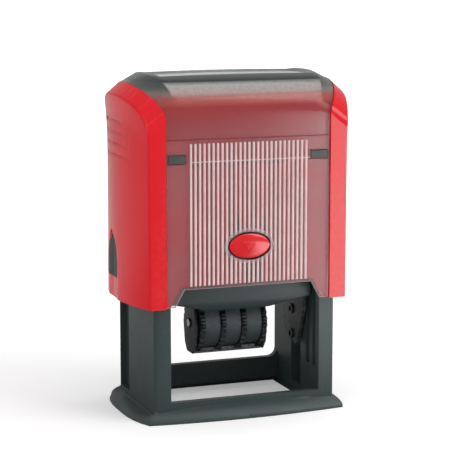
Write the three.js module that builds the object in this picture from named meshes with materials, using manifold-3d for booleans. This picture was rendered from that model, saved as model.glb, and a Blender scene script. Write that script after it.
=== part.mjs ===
// Self-inking date stamp, as an assembly of separate pieces.
// Millimetres, +Z up, origin at the bottom centre of the foot, front face towards -Y.
// The stamp stands at rest: the case is up and the printing die faces the ink pad above it.
import * as THREE from 'three';
import { mergeVertices } from 'three/addons/utils/BufferGeometryUtils.js';
import Module from 'manifold-3d';

const wasm = await Module();
wasm.setup();

// Clearances shared by all pieces
const gap = 0.3;
const overrun = 1;
const slack = 0.5;

// Print area and the lower frame
const plateLength = 50;
const plateBreadth = 30;
const windowEndRoom = 1.5;
const windowSideRoom = 2.5;
const columnThickness = 5.7;
const sillThickness = 2.5;
const columnCorner = 1.2;
const sillHeight = 6.4;
const rearBarHeight = 9.8;
const rearBarRelief = 2.2;
const reliefReach = 4;
const windowFillet = 3;
const flangeCornerOut = 2.5;
const flangeFrontOut = 2.3;
const flangeSideBulge = 3.9;
const flangeFrontBow = 2.4;
const frontSteepness = 2.2;
const sideSteepness = 0.8;
const flangeLevels = [0, 0.7, 1.3, 2, 2.7, 3.4, 4, 4.7];
const columnRoot = 1.3;
const recessDepth = 2.2;
const recessRearRoom = 1.5;
const recessLength = 10;
const recessFloor = 4.4;
const ribChannelDepth = 1;
const ribChannelFoot = 14;
const channelShares = [[-0.6, -0.44], [-0.85, -0.73]];

// Case, panels and cap
const seatWall = 1;
const panelThickness = 1;
const panelRecess = 0.6;
const sideWall = 2.2;
const sideDraft = 0.25;
const footBulge = 4.8;
const waistBulge = 3.5;
const creaseBulge = 5.1;
const bandWidth = 6;
const seamBulge = 7;
const seamSwellPower = 0.8;
const shoulderBulge = 4.1;
const caseLift = 1.3;
const wallRise = 52.2;
const ledgeRise = 3.2;
const creaseRise = 16.9;
const seamRise = 3.9;
const shoulderRise = 2.8;
const topRise = 0.4;
const waistLift = 7.5;
const waistSpringDrop = 3;
const creaseSpringRise = 4.8;
const capSpringRise = 9.8;
const shoulderInset = 3.6;
const shoulderLeanShare = 0.5;
const creasePower = 2.2;
const seamPower = 2;
const shoulderPower = 2.7;
const notchHeight = 6;
const notchTopRoom = 6.4;
const notchFootRoom = 3.2;
const ribCount = 27;
const ribSideRoom = 8.6;
const ribWidth = 0.8;
const ribHeight = 0.35;
const ribFoot = 7;
const ribTopGap = 1.2;
const slotWidth = 5.6;
const slotHeight = 2.4;
const slotDrop = 6.5;
const slotSideRoom = 1.1;
const guideLip = 0.9;

// Grip grooves and leaf windows in the sides of the case
const grooveRadius = 1.1;
const grooveDrop = 8.9;
const groovePitch = 3.75;
const grooveDepths = [0.35, 0.6, 0.7, 0.8];
const leafFront = 1.1;
const leafTipRun = 5;
const leafWidth = 14.9;
const leafFrontPower = 4;
const leafRearPower = 1.8;
const leafLift = 6.9;
const leafHeight = 15.2;
const leafBevel = 2.4;
const leafFrontShare = 1.5;
const leafShares = [0, 0.35, 0.6, 0.76, 0.89, 1];
const leafBevelDepth = 0.8;

// Index card window in the cap
const windowFront = 11;
const cardSideRoom = 1.9;
const cardBulge = 1;
const lensThickness = 0.9;
const cardThickness = 0.35;

// Locking button
const buttonLift = 19.5;
const buttonHalfWidth = 7.1;
const buttonHalfHeight = 4.15;
const buttonRoom = 0.5;
const buttonProud = 1.3;
const buttonFlange = 1.2;
const buttonStem = 1.6;
const buttonTravel = 1.5;
const collarWidth = 1.3;
const collarProud = 0.35;
const catchHalf = 12;
const catchHeight = 10;
const catchPlate = 0.8;
const arrowHeight = 4.2;
const arrowLine = 0.5;

// Ink pad cartridge under the frame's deck
const padGap = 1.6;
const padThickness = 5;
const trayWall = 1.1;
const trayProud = 1.3;
const trayTop = 4.8;
const deckThickness = 2.5;
const deckRim = 0.8;

// Turning die unit
const pivotHeight = 37.5;
const faceRadius = 8.8;
const pressClear = 0.2;
const dieThickness = 1.7;
const dieMargin = 0.4;
const carrierThickness = 1.7;
const skirtThickness = 1.4;
const skirtBend = 6.1;
const skirtDrop = 9.2;
const skirtSet = 2;
const mitreInset = 2.1;
const mitreRun = 12.4;
const cheekThickness = 1.2;
const cheekFront = 11;
const cheekDrop = 18.5;
const bossRadius = 1.8;
const bossBore = 1;
const bossHeight = 0.6;
const bossDrops = [6.3, 15.1];
const pinRadius = 1.5;
const pinHead = 2.6;
const pinHeadThickness = 0.9;
const pegRadius = 1.1;
const pegDrop = 6.5;
const pegReach = 2.2;
const armThickness = 1.2;
const armHalfDepth = 3.5;
const channelHalfDepth = 4.2;
const channelDepth = 3.2;
const trackDepth = 1.5;

// Dater with three setting wheels
const wheelCount = 3;
const wheelDrop = 8.9;
const wheelPitch = 7.5;
const discThickness = 1.5;
const toothCount = 24;
const discRoot = 8.6;
const discTip = 9.3;
const drumRadius = 7.2;
const bandThickness = 0.9;
const bandNose = 2.3;
const bandNoseEase = 0.6;
const axleRadius = 1.4;
const sidePlateThickness = 0.8;
const detentThickness = 0.7;
const detentHalfDepth = 2.6;
const bridgeHalfDepth = 1;

// Springs
const springRadius = 6;
const springWire = 0.65;
const springTurns = 7.5;
const springSeatDrop = 3.9;
const postRadius = 4.2;
const postLength = 12;
const seatRadius = 8;
const coilSteps = 8;
const coilSides = 5;

// Places that follow from the sizes above
const windowHalfLength = plateLength / 2 + windowEndRoom;
const windowHalfDepth = plateBreadth / 2 + windowSideRoom;
const columnOuter = windowHalfLength + columnThickness;
const columnHalfDepth = windowHalfDepth + sillThickness;
const recessRear = columnHalfDepth - recessRearRoom;
const recessFront = recessRear - recessLength;
const carrierHalfDepth = plateBreadth / 2;
const padHalfDepth = carrierHalfDepth - dieMargin;
const caseBottom = pivotHeight + caseLift;
const springLine = caseBottom + wallRise;
const capSpring = springLine + capSpringRise;
const ledgeHeight = springLine + ledgeRise;
const creaseCrown = springLine + creaseRise;
const seamCrown = creaseCrown + seamRise;
const shoulderCrown = seamCrown + shoulderRise;
const topCrown = shoulderCrown + topRise;
const grooveTop = creaseCrown - grooveDrop;
const leafFoot = caseBottom + leafLift;
const buttonHeight = caseBottom + buttonLift;
const springSeat = creaseCrown - springSeatDrop;
const wheelHeight = pivotHeight - wheelDrop;
const seatFace = columnHalfDepth + gap + seatWall;
const panelBack = seatFace + gap;
const panelFace = panelBack + panelThickness;
const caseHalfDepth = panelFace + panelRecess;
const caseHalfWidth = columnOuter + slack + sideWall;
const seamHalf = caseHalfWidth - bandWidth;
const notchTopHalf = seamHalf - notchTopRoom;
const notchFootHalf = seamHalf - notchFootRoom;
const ribPitch = (2 * (seamHalf - ribSideRoom)) / (ribCount - 1);
const slotOut = seamHalf - slotSideRoom;
const cardHalf = seamHalf - cardSideRoom;
const capThickness = panelThickness + panelRecess;
const dieFace = pivotHeight + faceRadius;
const stroke = pivotHeight - faceRadius - pressClear;
const dieBack = dieFace - dieThickness;
const carrierTop = dieBack - gap;
const carrierBack = carrierTop - carrierThickness;
const skirtBreak = carrierTop - skirtBend;
const skirtFoot = carrierTop - skirtDrop;
const padFoot = dieFace + padGap;
const trayFoot = padFoot + trayProud;
const padTop = padFoot + padThickness;
const trayRoof = padTop + gap + trayTop;
const deckFoot = trayRoof + gap;
const deckTop = deckFoot + deckThickness;
const columnTop = deckTop + deckRim;
const trayHalfDepth = padHalfDepth + gap + trayWall;
const trayHalfLength = windowHalfLength - gap;
const armOuter = windowHalfLength + channelDepth - slack;
const armInner = armOuter - armThickness;
const cheekOuter = windowHalfLength - windowEndRoom + slack;
const cheekInner = cheekOuter - cheekThickness;
const cheekFoot = pivotHeight - cheekDrop;
const mitreOuter = cheekOuter - mitreInset;
const mitreInner = mitreOuter - mitreRun;
const radiansPerMillimetre = Math.PI / stroke;
const halfWheels = (wheelCount * wheelPitch) / 2;
const plateInner = halfWheels + discThickness / 2 + gap;
const plateOuter = plateInner + sidePlateThickness;
const bandInner = drumRadius + gap;
const bandOuter = bandInner + bandThickness;

// Materials
const finish = (color, roughness, metalness = 0, extra = {}) =>
  new THREE.MeshStandardMaterial({ color, roughness, metalness, ...extra });
const redPlastic = finish(0xe02530, 0.35);
const slatePlastic = finish(0x465456, 0.55);
const darkPlastic = finish(0x1c2426, 0.6);
const clearPlastic = finish(0xd8a0a6, 0.2, 0, { transparent: true, opacity: 0.5 });
const smokePlastic = finish(0x7c8284, 0.2, 0, { transparent: true, opacity: 0.55 });
const cardPaper = finish(0xc4c5c2, 0.9);
const steel = finish(0xb9bcc0, 0.3, 1);
const padFoam = finish(0x24262c, 0.95);
const dieRubber = finish(0x3a3d40, 0.85);
const bandRubber = finish(0x4b5658, 0.8);

// Basic solids
function solidOf(geometry) {
  const bare = geometry.index ? geometry.toNonIndexed() : geometry;
  bare.deleteAttribute('normal');
  bare.deleteAttribute('uv');
  const merged = mergeVertices(bare);
  return new wasm.Manifold(new wasm.Mesh({
    numProp: 3,
    vertProperties: new Float32Array(merged.attributes.position.array),
    triVerts: new Uint32Array(merged.index.array),
  }));
}

function signedVolume(points, faces) {
  let total = 0;
  for (const [a, b, c] of faces) {
    const [p, q, r] = [points[a], points[b], points[c]].map((xyz) => new THREE.Vector3(...xyz));
    total += p.dot(q.cross(r));
  }
  return total;
}

function solidFromFaces(points, faces) {
  const outward = signedVolume(points, faces) > 0;
  const turned = outward ? faces : faces.map(([a, b, c]) => [a, c, b]);
  return new wasm.Manifold(new wasm.Mesh({
    numProp: 3,
    vertProperties: new Float32Array(points.flat()),
    triVerts: new Uint32Array(turned.flat()),
  }));
}

function block([x0, x1], [y0, y1], [z0, z1]) {
  const shape = new THREE.BoxGeometry(x1 - x0, y1 - y0, z1 - z0);
  shape.translate((x0 + x1) / 2, (y0 + y1) / 2, (z0 + z1) / 2);
  return solidOf(shape);
}

function prismAlong(outline, holes, from, to, basis) {
  const shape = new THREE.Shape(outline.map(([a, b]) => new THREE.Vector2(a, b)));
  for (const hole of holes) shape.holes.push(new THREE.Path(hole.map(([a, b]) => new THREE.Vector2(a, b))));
  const geometry = new THREE.ExtrudeGeometry(shape, { depth: to - from, bevelEnabled: false });
  geometry.translate(0, 0, from);
  geometry.applyMatrix4(basis);
  return solidOf(geometry);
}

const axisBasis = (x, y, z) =>
  new THREE.Matrix4().makeBasis(new THREE.Vector3(...x), new THREE.Vector3(...y), new THREE.Vector3(...z));
const alongX = axisBasis([0, 1, 0], [0, 0, 1], [1, 0, 0]);
const alongY = axisBasis([0, 0, 1], [1, 0, 0], [0, 1, 0]);
const alongZ = axisBasis([1, 0, 0], [0, 1, 0], [0, 0, 1]);

// An outline of (y, z) points carried along X
const prismX = (outline, [x0, x1], holes = []) => prismAlong(outline, holes, x0, x1, alongX);
// An outline of (x, z) points carried along Y
const prismY = (outline, [y0, y1]) => prismAlong(outline.map(([x, z]) => [z, x]), [], y0, y1, alongY);
// An outline of (x, y) points carried along Z
const prismZ = (outline, [z0, z1]) => prismAlong(outline, [], z0, z1, alongZ);

function oval(halfWidth, halfHeight, [centreA, centreB] = [0, 0], sides = 28) {
  return Array.from({ length: sides }, (_, i) => {
    const turn = (2 * Math.PI * i) / sides;
    return [centreA + halfWidth * Math.cos(turn), centreB + halfHeight * Math.sin(turn)];
  });
}

const rodX = (radius, span, [y, z], sides = 20) => prismX(oval(radius, radius, [y, z], sides), span);
const rodZ = (radius, span, sides = 24) => prismZ(oval(radius, radius, [0, 0], sides), span);

const outward = (side, near, far) => (side > 0 ? [near, far] : [-far, -near]);
const join = (first, ...others) => others.reduce((whole, piece) => whole.add(piece), first);
const cut = (first, ...tools) => tools.reduce((whole, tool) => whole.subtract(tool), first);
const mirrorPoints = (outline) => outline.map(([x, z]) => [-x, z]).reverse();

// Closed loops of equal length joined into one solid with flat ends
function loft(loops) {
  const count = loops[0].length;
  const points = loops.flat();
  const faces = [];
  for (let row = 0; row + 1 < loops.length; row += 1) {
    for (let i = 0; i < count; i += 1) {
      const [a, b] = [row * count + i, row * count + ((i + 1) % count)];
      faces.push([a, b, b + count], [a, b + count, a + count]);
    }
  }
  const capEnd = (row, forward) => {
    const loop = loops[row];
    const centre = points.length;
    points.push([0, 1, 2].map((k) => loop.reduce((sum, xyz) => sum + xyz[k], 0) / count));
    for (let i = 0; i < count; i += 1) {
      const [a, b] = [row * count + i, row * count + ((i + 1) % count)];
      faces.push(forward ? [centre, a, b] : [centre, b, a]);
    }
  };
  capEnd(0, false);
  capEnd(loops.length - 1, true);
  return solidFromFaces(points, faces);
}

// A sheet between two grids of points, closed along its four edges
function sheet(outer, inner) {
  const [rows, columns] = [outer.length, outer[0].length];
  const points = [...outer.flat(), ...inner.flat()];
  const half = rows * columns;
  const faces = [];
  const quad = (a, b, c, d) => faces.push([a, b, c], [a, c, d]);
  const at = (row, column) => row * columns + column;
  for (let row = 0; row + 1 < rows; row += 1) {
    for (let column = 0; column + 1 < columns; column += 1) {
      const corners = [at(row, column), at(row, column + 1), at(row + 1, column + 1), at(row + 1, column)];
      quad(...corners);
      quad(...corners.map((index) => index + half).reverse());
    }
  }
  for (let row = 0; row + 1 < rows; row += 1) {
    const [a, b] = [at(row, 0), at(row + 1, 0)];
    quad(a, b, b + half, a + half);
    const [c, d] = [at(row, columns - 1), at(row + 1, columns - 1)];
    quad(d, c, c + half, d + half);
  }
  for (let column = 0; column + 1 < columns; column += 1) {
    const [a, b] = [at(0, column), at(0, column + 1)];
    quad(b, a, a + half, b + half);
    const [c, d] = [at(rows - 1, column), at(rows - 1, column + 1)];
    quad(c, d, d + half, c + half);
  }
  return solidFromFaces(points, faces);
}

// The arched top of the case: a family of arches, each with its own crown and fullness
const archRows = 18;
const bulgeAt = (y, depth) => Math.max(0, 1 - (y / depth) ** 2);
const seamAt = (swell) => seamHalf + seamBulge * swell ** seamSwellPower;
const shoulderAt = (swell) => seamHalf - shoulderInset + shoulderBulge * swell;
const waist = { spring: springLine - waistSpringDrop, crown: springLine + waistLift, power: creasePower };
const crease = { spring: springLine + creaseSpringRise, crown: creaseCrown, power: creasePower };
const stations = [
  { half: seamAt, spring: capSpring, crown: seamCrown, power: seamPower },
  { half: shoulderAt, spring: capSpring, crown: shoulderCrown, power: shoulderPower },
  { half: (swell) => shoulderAt(swell) / 2, spring: capSpring, crown: topCrown, power: shoulderPower },
];

function archHeight(y, { spring, crown, power }, offset = 0) {
  const reach = Math.min(1, Math.abs(y) / (caseHalfDepth - offset));
  return spring + (crown - offset - spring) * (1 - reach ** power) ** (1 / power);
}

// Points of one arch from its front foot to its rear foot
function archPoints({ spring, crown, power }, offset) {
  const depth = caseHalfDepth - offset;
  return Array.from({ length: archRows + 1 }, (_, row) => {
    const turn = (Math.PI * row) / archRows;
    const [c, s] = [Math.cos(turn), Math.max(0, Math.sin(turn))];
    const z = spring + (crown - offset - spring) * s ** (2 / power);
    return [-Math.sign(c) * depth * Math.abs(c) ** (2 / power), z];
  });
}

// The grid of an arched sheet over the width of the cap, its sides held in by a clearance
function archGrid(offset, sideClear, skirtTo = null) {
  const lines = stations.map((station) => archPoints(station, offset));
  const ends = (line) => [[line[0][0], skirtTo], ...line, [line[archRows][0], skirtTo]];
  const full = skirtTo === null ? lines : lines.map(ends);
  return full[0].map((_, row) => {
    const left = stations.map((station, k) => {
      const [y, z] = full[k][row];
      const half = station.half(bulgeAt(y, caseHalfDepth - offset));
      return [(k > 0 ? offset * shoulderLeanShare : 0) - half, y, z];
    });
    const [edge, next] = left;
    const share = sideClear / (next[0] - edge[0]);
    left[0] = edge.map((value, axis) => value + (next[axis] - value) * share);
    const right = left.map(([x, y, z]) => [-x, y, z]).reverse();
    return [...left, ...right];
  });
}

const archSheet = (outerOffset, innerOffset, sideClear, skirtTo = null) =>
  sheet(archGrid(outerOffset, sideClear, skirtTo), archGrid(innerOffset, sideClear, skirtTo));

// Arched block across the whole width of the case, sections set one behind the other along Y
function archBlock(offset, sideOffset, foot) {
  const depth = caseHalfDepth - offset;
  const rows = Array.from({ length: archRows + 1 }, (_, row) => {
    const c = Math.cos((Math.PI * row) / archRows);
    return -Math.sign(c) * depth * Math.abs(c) ** (2 / creasePower);
  });
  return loft(rows.map((y) => {
    const sideAt = (bulge) => caseHalfWidth + bulge * bulgeAt(y, caseHalfDepth) - sideOffset;
    const low = [sideAt(footBulge) - sideDraft, foot];
    const middle = [sideAt(waistBulge), archHeight(y, waist, offset)];
    const high = [sideAt(creaseBulge) + sideDraft, archHeight(y, crease, offset)];
    const halfAt = (station) => station.half(bulgeAt(y, depth)) - offset / 2;
    const inner = stations.map((station) => [halfAt(station), archHeight(y, station, offset)]);
    const right = [low, middle, high, ...inner];
    return [...right, ...mirrorPoints(right)].map(([x, z]) => [x, y, z]);
  }));
}

// Lower frame: foot, sill, rear bar, two columns and the deck, moulded in one
// The flange falls from the columns to the floor in a curve, steep at the front and flatter at the sides
function footLoop(z) {
  const steps = 10;
  const frontInset = (z / frontSteepness) ** 2;
  const bulge = flangeSideBulge + frontInset - (z / sideSteepness) ** 2;
  const full = [columnOuter + flangeCornerOut, columnHalfDepth + flangeFrontOut];
  const corner = full.map((size) => size - frontInset);
  const least = [columnOuter, columnHalfDepth].map((size) => size - slack);
  const [w, d] = corner.map((size, axis) => Math.max(size, least[axis]));
  const shares = Array.from({ length: steps }, (_, i) => (2 * i) / steps - 1);
  const right = shares.map((t) => [Math.max(corner[0] + bulge * (1 - Math.abs(t) ** 3), least[0]), d * t]);
  const rear = shares.map((t) => [-w * t, Math.max(corner[1] + flangeFrontBow * (1 - t ** 2), least[1])]);
  const half = [...right, ...rear];
  return [...half, ...half.map(([x, y]) => [-x, -y])].map(([x, y]) => [x, y, z]);
}

const foot = () => loft(flangeLevels.map(footLoop));

function columnOutline(side) {
  const [inner, outer, depth, ease] = [windowHalfLength, columnOuter, columnHalfDepth, columnCorner];
  const eased = [[outer - ease, -depth], [outer - ease / 3, -depth + ease / 3], [outer, -depth + ease]];
  const rear = eased.map(([x, y]) => [x, -y]).reverse();
  const outline = [[inner - overrun, -depth], ...eased, ...rear, [inner - overrun, depth]];
  return side > 0 ? outline : outline.map(([x, y]) => [-x, y]).reverse();
}

function windowOutline() {
  const [half, top, ease] = [windowHalfLength, deckFoot, windowFillet];
  const corner = Array.from({ length: 5 }, (_, i) => {
    const turn = Math.PI + (Math.PI / 2) * (i / 4);
    return [-half + ease + ease * Math.cos(turn), rearBarHeight + ease + ease * Math.sin(turn)];
  });
  return [[-half, top], ...corner, ...mirrorPoints(corner), [half, top]].reverse();
}

// Path of the cam peg on the frame while the die turns over
function camTrack(side) {
  const steps = 8;
  const span = outward(side, windowHalfLength - overrun, windowHalfLength + trackDepth);
  const room = pegRadius + slack;
  const stops = Array.from({ length: steps + 1 }, (_, i) => {
    const turn = (Math.PI * i) / steps;
    const drop = turn / radiansPerMillimetre;
    return [pegDrop * Math.sin(turn), pivotHeight - drop - pegDrop * Math.cos(turn)];
  });
  const slots = stops.slice(1).map(([y, z], i) => {
    const [y0, z0] = stops[i];
    const length = Math.hypot(y - y0, z - z0);
    const across = [(-(z - z0) / length) * room, ((y - y0) / length) * room];
    return prismX([[y0 + across[0], z0 + across[1]], [y0 - across[0], z0 - across[1]],
      [y - across[0], z - across[1]], [y + across[0], z + across[1]]], span);
  });
  const rounds = stops.map((centre) => rodX(room, span, centre, 8));
  return join(...slots, ...rounds);
}

function baseFrame() {
  const deckHalf = trayHalfDepth;
  let body = foot();
  for (const side of [-1, 1]) body = body.add(prismZ(columnOutline(side), [columnRoot, columnTop]));
  const halfSpan = [-windowHalfLength - overrun, windowHalfLength + overrun];
  body = join(
    body,
    block(halfSpan, [-columnHalfDepth, -windowHalfDepth + overrun], [columnRoot, sillHeight]),
    block(halfSpan, [windowHalfDepth - overrun, columnHalfDepth], [columnRoot, rearBarHeight + windowFillet]),
  );
  const clearRange = [-windowHalfLength, windowHalfLength];
  const rearRange = [windowHalfDepth - overrun, columnHalfDepth + overrun];
  const aboveSill = [sillHeight, columnTop + overrun];
  body = cut(
    body,
    block(clearRange, [-windowHalfDepth, windowHalfDepth], [-overrun, deckTop + overrun]),
    block(clearRange, [-columnHalfDepth - overrun, -windowHalfDepth + overrun], aboveSill),
    prismY(windowOutline(), rearRange),
    block(clearRange, rearRange, [deckFoot, columnTop + overrun]),
    block(clearRange, [windowHalfDepth - overrun, windowHalfDepth + reliefReach], [-overrun, rearBarRelief]),
  );
  const deck = join(
    block(halfSpan, [-deckHalf, deckHalf], [deckFoot, deckTop]),
    rodZ(springRadius - springWire - slack, [deckFoot, deckTop + deckRim]),
  );
  body = body.add(deck);
  const rows = channelShares.map((pair) => pair.map((share) => share * columnHalfDepth));
  for (const side of [-1, 1]) {
    const outerRecess = outward(side, columnOuter - recessDepth, columnOuter + overrun);
    const channel = outward(side, windowHalfLength - overrun, windowHalfLength + channelDepth);
    const shallow = outward(side, windowHalfLength - overrun, windowHalfLength + ribChannelDepth);
    body = cut(
      body,
      block(outerRecess, [recessFront, recessRear], [recessFloor, columnTop + overrun]),
      block(channel, [-channelHalfDepth, channelHalfDepth], [recessFloor, columnTop + overrun]),
      camTrack(side),
      ...rows.map((row) => block(shallow, row, [ribChannelFoot, deckFoot - overrun])),
    );
  }
  return body;
}

// Ink pad cartridge
function padTray() {
  const [length, depth] = [trayHalfLength, trayHalfDepth];
  const [innerLength, innerDepth] = [length - trayWall, depth - trayWall];
  return cut(
    block([-length, length], [-depth, depth], [trayFoot, trayRoof]),
    block([-innerLength, innerLength], [-innerDepth, innerDepth], [trayFoot - overrun, padTop + gap]),
  );
}

function inkPad() {
  const half = trayHalfLength - trayWall - gap;
  return block([-half, half], [-padHalfDepth, padHalfDepth], [padFoot, padTop]);
}

// Red case: two side cheeks with their bands, the walls between them and all that they carry
function leafOutline(margin, foot = null) {
  const tip = leafFront + leafTipRun;
  const edge = (reach, power) => leafShares.map((share) => {
    const z = leafFoot - margin / 2 + (leafHeight + margin) * share;
    return [reach * (1 - share ** power), z];
  });
  const front = edge(leafTipRun + leafFrontShare * margin, leafFrontPower);
  const rear = edge(leafWidth - leafTipRun + margin, leafRearPower);
  const outline = [
    ...rear.map(([run, z]) => [tip + run, z]),
    ...front.slice(0, -1).map(([run, z]) => [tip - run, z]).reverse(),
  ];
  if (foot === null) return outline;
  return [[outline[0][0], foot], ...outline, [outline[outline.length - 1][0], foot]];
}

function sideCuts(side) {
  const widest = caseHalfWidth + footBulge;
  const grooves = grooveDepths.map((depth, i) => {
    const centre = [side * (caseHalfWidth + waistBulge + grooveRadius - depth), grooveTop - groovePitch * i];
    return prismY(oval(grooveRadius, grooveRadius, centre, 12), [-caseHalfDepth, caseHalfDepth]);
  });
  const span = outward(side, caseHalfWidth - sideWall - overrun, widest + overrun);
  const core = archBlock(0, leafBevelDepth, caseBottom - 2 * overrun);
  const recess = prismX(leafOutline(leafBevel, caseBottom - overrun), span).subtract(core);
  return [...grooves, prismX(leafOutline(0), span), recess];
}

function notchOutline() {
  const [low, high] = [caseBottom - overrun, caseBottom + notchHeight];
  const spread = (notchFootHalf - notchTopHalf) / notchHeight;
  const foot = notchFootHalf + spread * overrun;
  return [[-foot, low], [foot, low], [notchTopHalf, high], [-notchTopHalf, high]];
}

const railSpans = [
  [caseBottom + guideLip, leafFoot - leafBevel / 2],
  [leafFoot + leafHeight + leafBevel, springLine],
];
const armTop = springSeat + slack;
const roofInside = topCrown - capThickness - gap;

function caseShell() {
  const cavityOffset = caseHalfDepth - columnHalfDepth - gap;
  const cavity = archBlock(cavityOffset, sideWall, caseBottom - overrun);
  let shell = cut(archBlock(0, 0, caseBottom), cavity);
  shell = join(
    shell,
    rodZ(seatRadius, [springSeat, roofInside]),
    rodZ(postRadius, [springSeat - postLength, roofInside]),
  );
  for (const side of [-1, 1]) {
    const lug = outward(side, armInner - gap, armOuter + gap);
    shell = shell.add(block(lug, [-armHalfDepth, armHalfDepth], [armTop + gap, roofInside - overrun]));
    const rail = outward(side, columnOuter - recessDepth + slack, caseHalfWidth);
    for (const span of railSpans) {
      shell = shell.add(block(rail, [recessFront + slack, recessRear - slack], span));
    }
  }
  const seat = archSheet(-2 * capThickness, caseHalfDepth - seatFace, 0, caseBottom - overrun);
  shell = cut(shell, seat, ...sideCuts(-1), ...sideCuts(1));
  const through = [caseHalfDepth + overrun, columnHalfDepth];
  return cut(
    shell,
    prismY(notchOutline(), [-through[0], -through[1]]),
    prismY(notchOutline(), [through[1], through[0]]),
    prismY(buttonOval(buttonFlange + gap), [-through[0], -through[1]]),
  );
}

// Clear panels between the bands, with upright ribs
function buttonOval(margin) {
  return oval(buttonHalfWidth + margin, buttonHalfHeight + margin, [0, buttonHeight], 32);
}

function slotSpans(side) {
  const top = ledgeHeight - slotDrop + slotHeight / 2;
  return [outward(side, slotOut - slotWidth, slotOut), [top - slotHeight, top]];
}

function ribbedPanel(face) {
  const half = seamHalf - gap;
  const [foot, top] = [caseBottom + gap, ledgeHeight - gap];
  let panel = block([-half, half], outward(face, panelBack, panelFace), [foot, top]);
  const crest = panelFace + ribHeight;
  for (let i = 0; i < ribCount; i += 1) {
    const x = (i - (ribCount - 1) / 2) * ribPitch;
    const outline = [[x - ribWidth / 2, panelFace - gap], [x + ribWidth / 2, panelFace - gap],
      [x + ribWidth / 4, crest], [x - ribWidth / 4, crest]];
    const placed = outline.map(([a, b]) => [a, face * b]);
    panel = panel.add(prismZ(placed, [caseBottom + ribFoot, top - ribTopGap]));
  }
  const through = outward(face, panelBack - overrun, crest + overrun);
  panel = cut(panel, prismY(notchOutline(), through));
  for (const side of [-1, 1]) {
    const [x, z] = slotSpans(side);
    panel = panel.subtract(block(x, through, z));
  }
  return { panel, through, crest };
}

function frontPanel() {
  const { panel, through, crest } = ribbedPanel(-1);
  const collar = prismY(buttonOval(buttonRoom + collarWidth), [gap - crest - collarProud, -panelBack]);
  return cut(panel.add(collar), prismY(buttonOval(buttonRoom), through));
}

const rearPanel = () => ribbedPanel(1).panel;

function panelClip(side, face) {
  const [x, z] = slotSpans(side);
  const inner = ([low, high]) => [low + gap, high - gap];
  return block(inner(x), outward(face, panelBack, panelFace), inner(z));
}

// Cap over the panels, with the index card under its window
function cardOutline(margin) {
  const steps = 6;
  const edge = Array.from({ length: steps + 1 }, (_, i) => {
    const y = (windowFront - margin) * ((2 * i) / steps - 1);
    return [cardHalf - margin + cardBulge * bulgeAt(y, windowFront), y];
  });
  return [...edge, ...edge.map(([x, y]) => [-x, y]).reverse()];
}

const cardPrism = (margin) => prismZ(cardOutline(margin), [ledgeHeight, topCrown + overrun]);
const topCap = () => cut(archSheet(0, capThickness, gap, ledgeHeight), cardPrism(0));
const cardSheet = (from, thickness, margin) =>
  archSheet(from, from + thickness, gap).intersect(cardPrism(margin));

// Locking button and its catch behind the front wall
function ovalLoop(y, margin, share = 1) {
  const points = oval((buttonHalfWidth + margin) * share, (buttonHalfHeight + margin) * share, [0, 0], 32);
  return points.map(([x, z]) => [x, y, buttonHeight + z]);
}

function lockButton() {
  const crown = panelFace + buttonProud;
  const shoulder = panelFace + buttonProud / 3;
  const flangeBack = columnHalfDepth + gap;
  const domeShares = [1, 0.97, 0.88, 0.72, 0.48, 0.2];
  const dome = domeShares.map((share) => {
    const lift = Math.sqrt(1 - share ** 2);
    return ovalLoop(-(shoulder + (crown - shoulder) * lift), 0, share);
  });
  const body = loft([
    ovalLoop(-flangeBack, buttonFlange),
    ovalLoop(-seatFace, buttonFlange),
    ovalLoop(-seatFace, 0),
    ...dome,
  ]);
  const stemEnd = trayHalfDepth + slack + buttonTravel;
  const stem = prismY(oval(buttonStem, buttonStem, [0, buttonHeight], 16), [-flangeBack - slack, -stemEnd]);
  const arrowShares = [[-1, 0.6], [0, -0.9], [1, 0.6]];
  const arrow = (size) => arrowShares.map(([x, z]) => [x * size, buttonHeight + z * size]);
  const ridge = [-crown - arrowLine / 4, -shoulder];
  const outline = prismY(arrow(arrowHeight / 2 + arrowLine), ridge);
  const mark = outline.subtract(prismY(arrow(arrowHeight / 2 - arrowLine), ridge));
  return join(body, stem, mark);
}

function buttonCatch() {
  const [front, back] = [-columnHalfDepth, -(trayHalfDepth + buttonTravel + gap / 3)];
  const span = [buttonHeight - catchHeight / 2, buttonHeight + catchHeight / 2];
  const inner = catchHalf - catchPlate;
  return cut(
    block([-catchHalf, catchHalf], [front, back], span),
    block([-inner, inner], [front - overrun, back - catchPlate], [span[0] - overrun, span[1] + overrun]),
    prismY(oval(buttonStem + slack, buttonStem + slack, [0, buttonHeight], 16), [front, back + overrun]),
  );
}

// Arms that hang from the case and carry the die's pivots
function driveArm(side) {
  const span = outward(side, armInner, armOuter);
  const hole = [0, pivotHeight];
  const strip = block(span, [-armHalfDepth, armHalfDepth], [pivotHeight, armTop]);
  const end = rodX(armHalfDepth, span, hole, 24);
  const through = [span[0] - overrun, span[1] + overrun];
  return cut(strip.add(end), rodX(pinRadius + gap, through, hole, 16));
}

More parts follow.
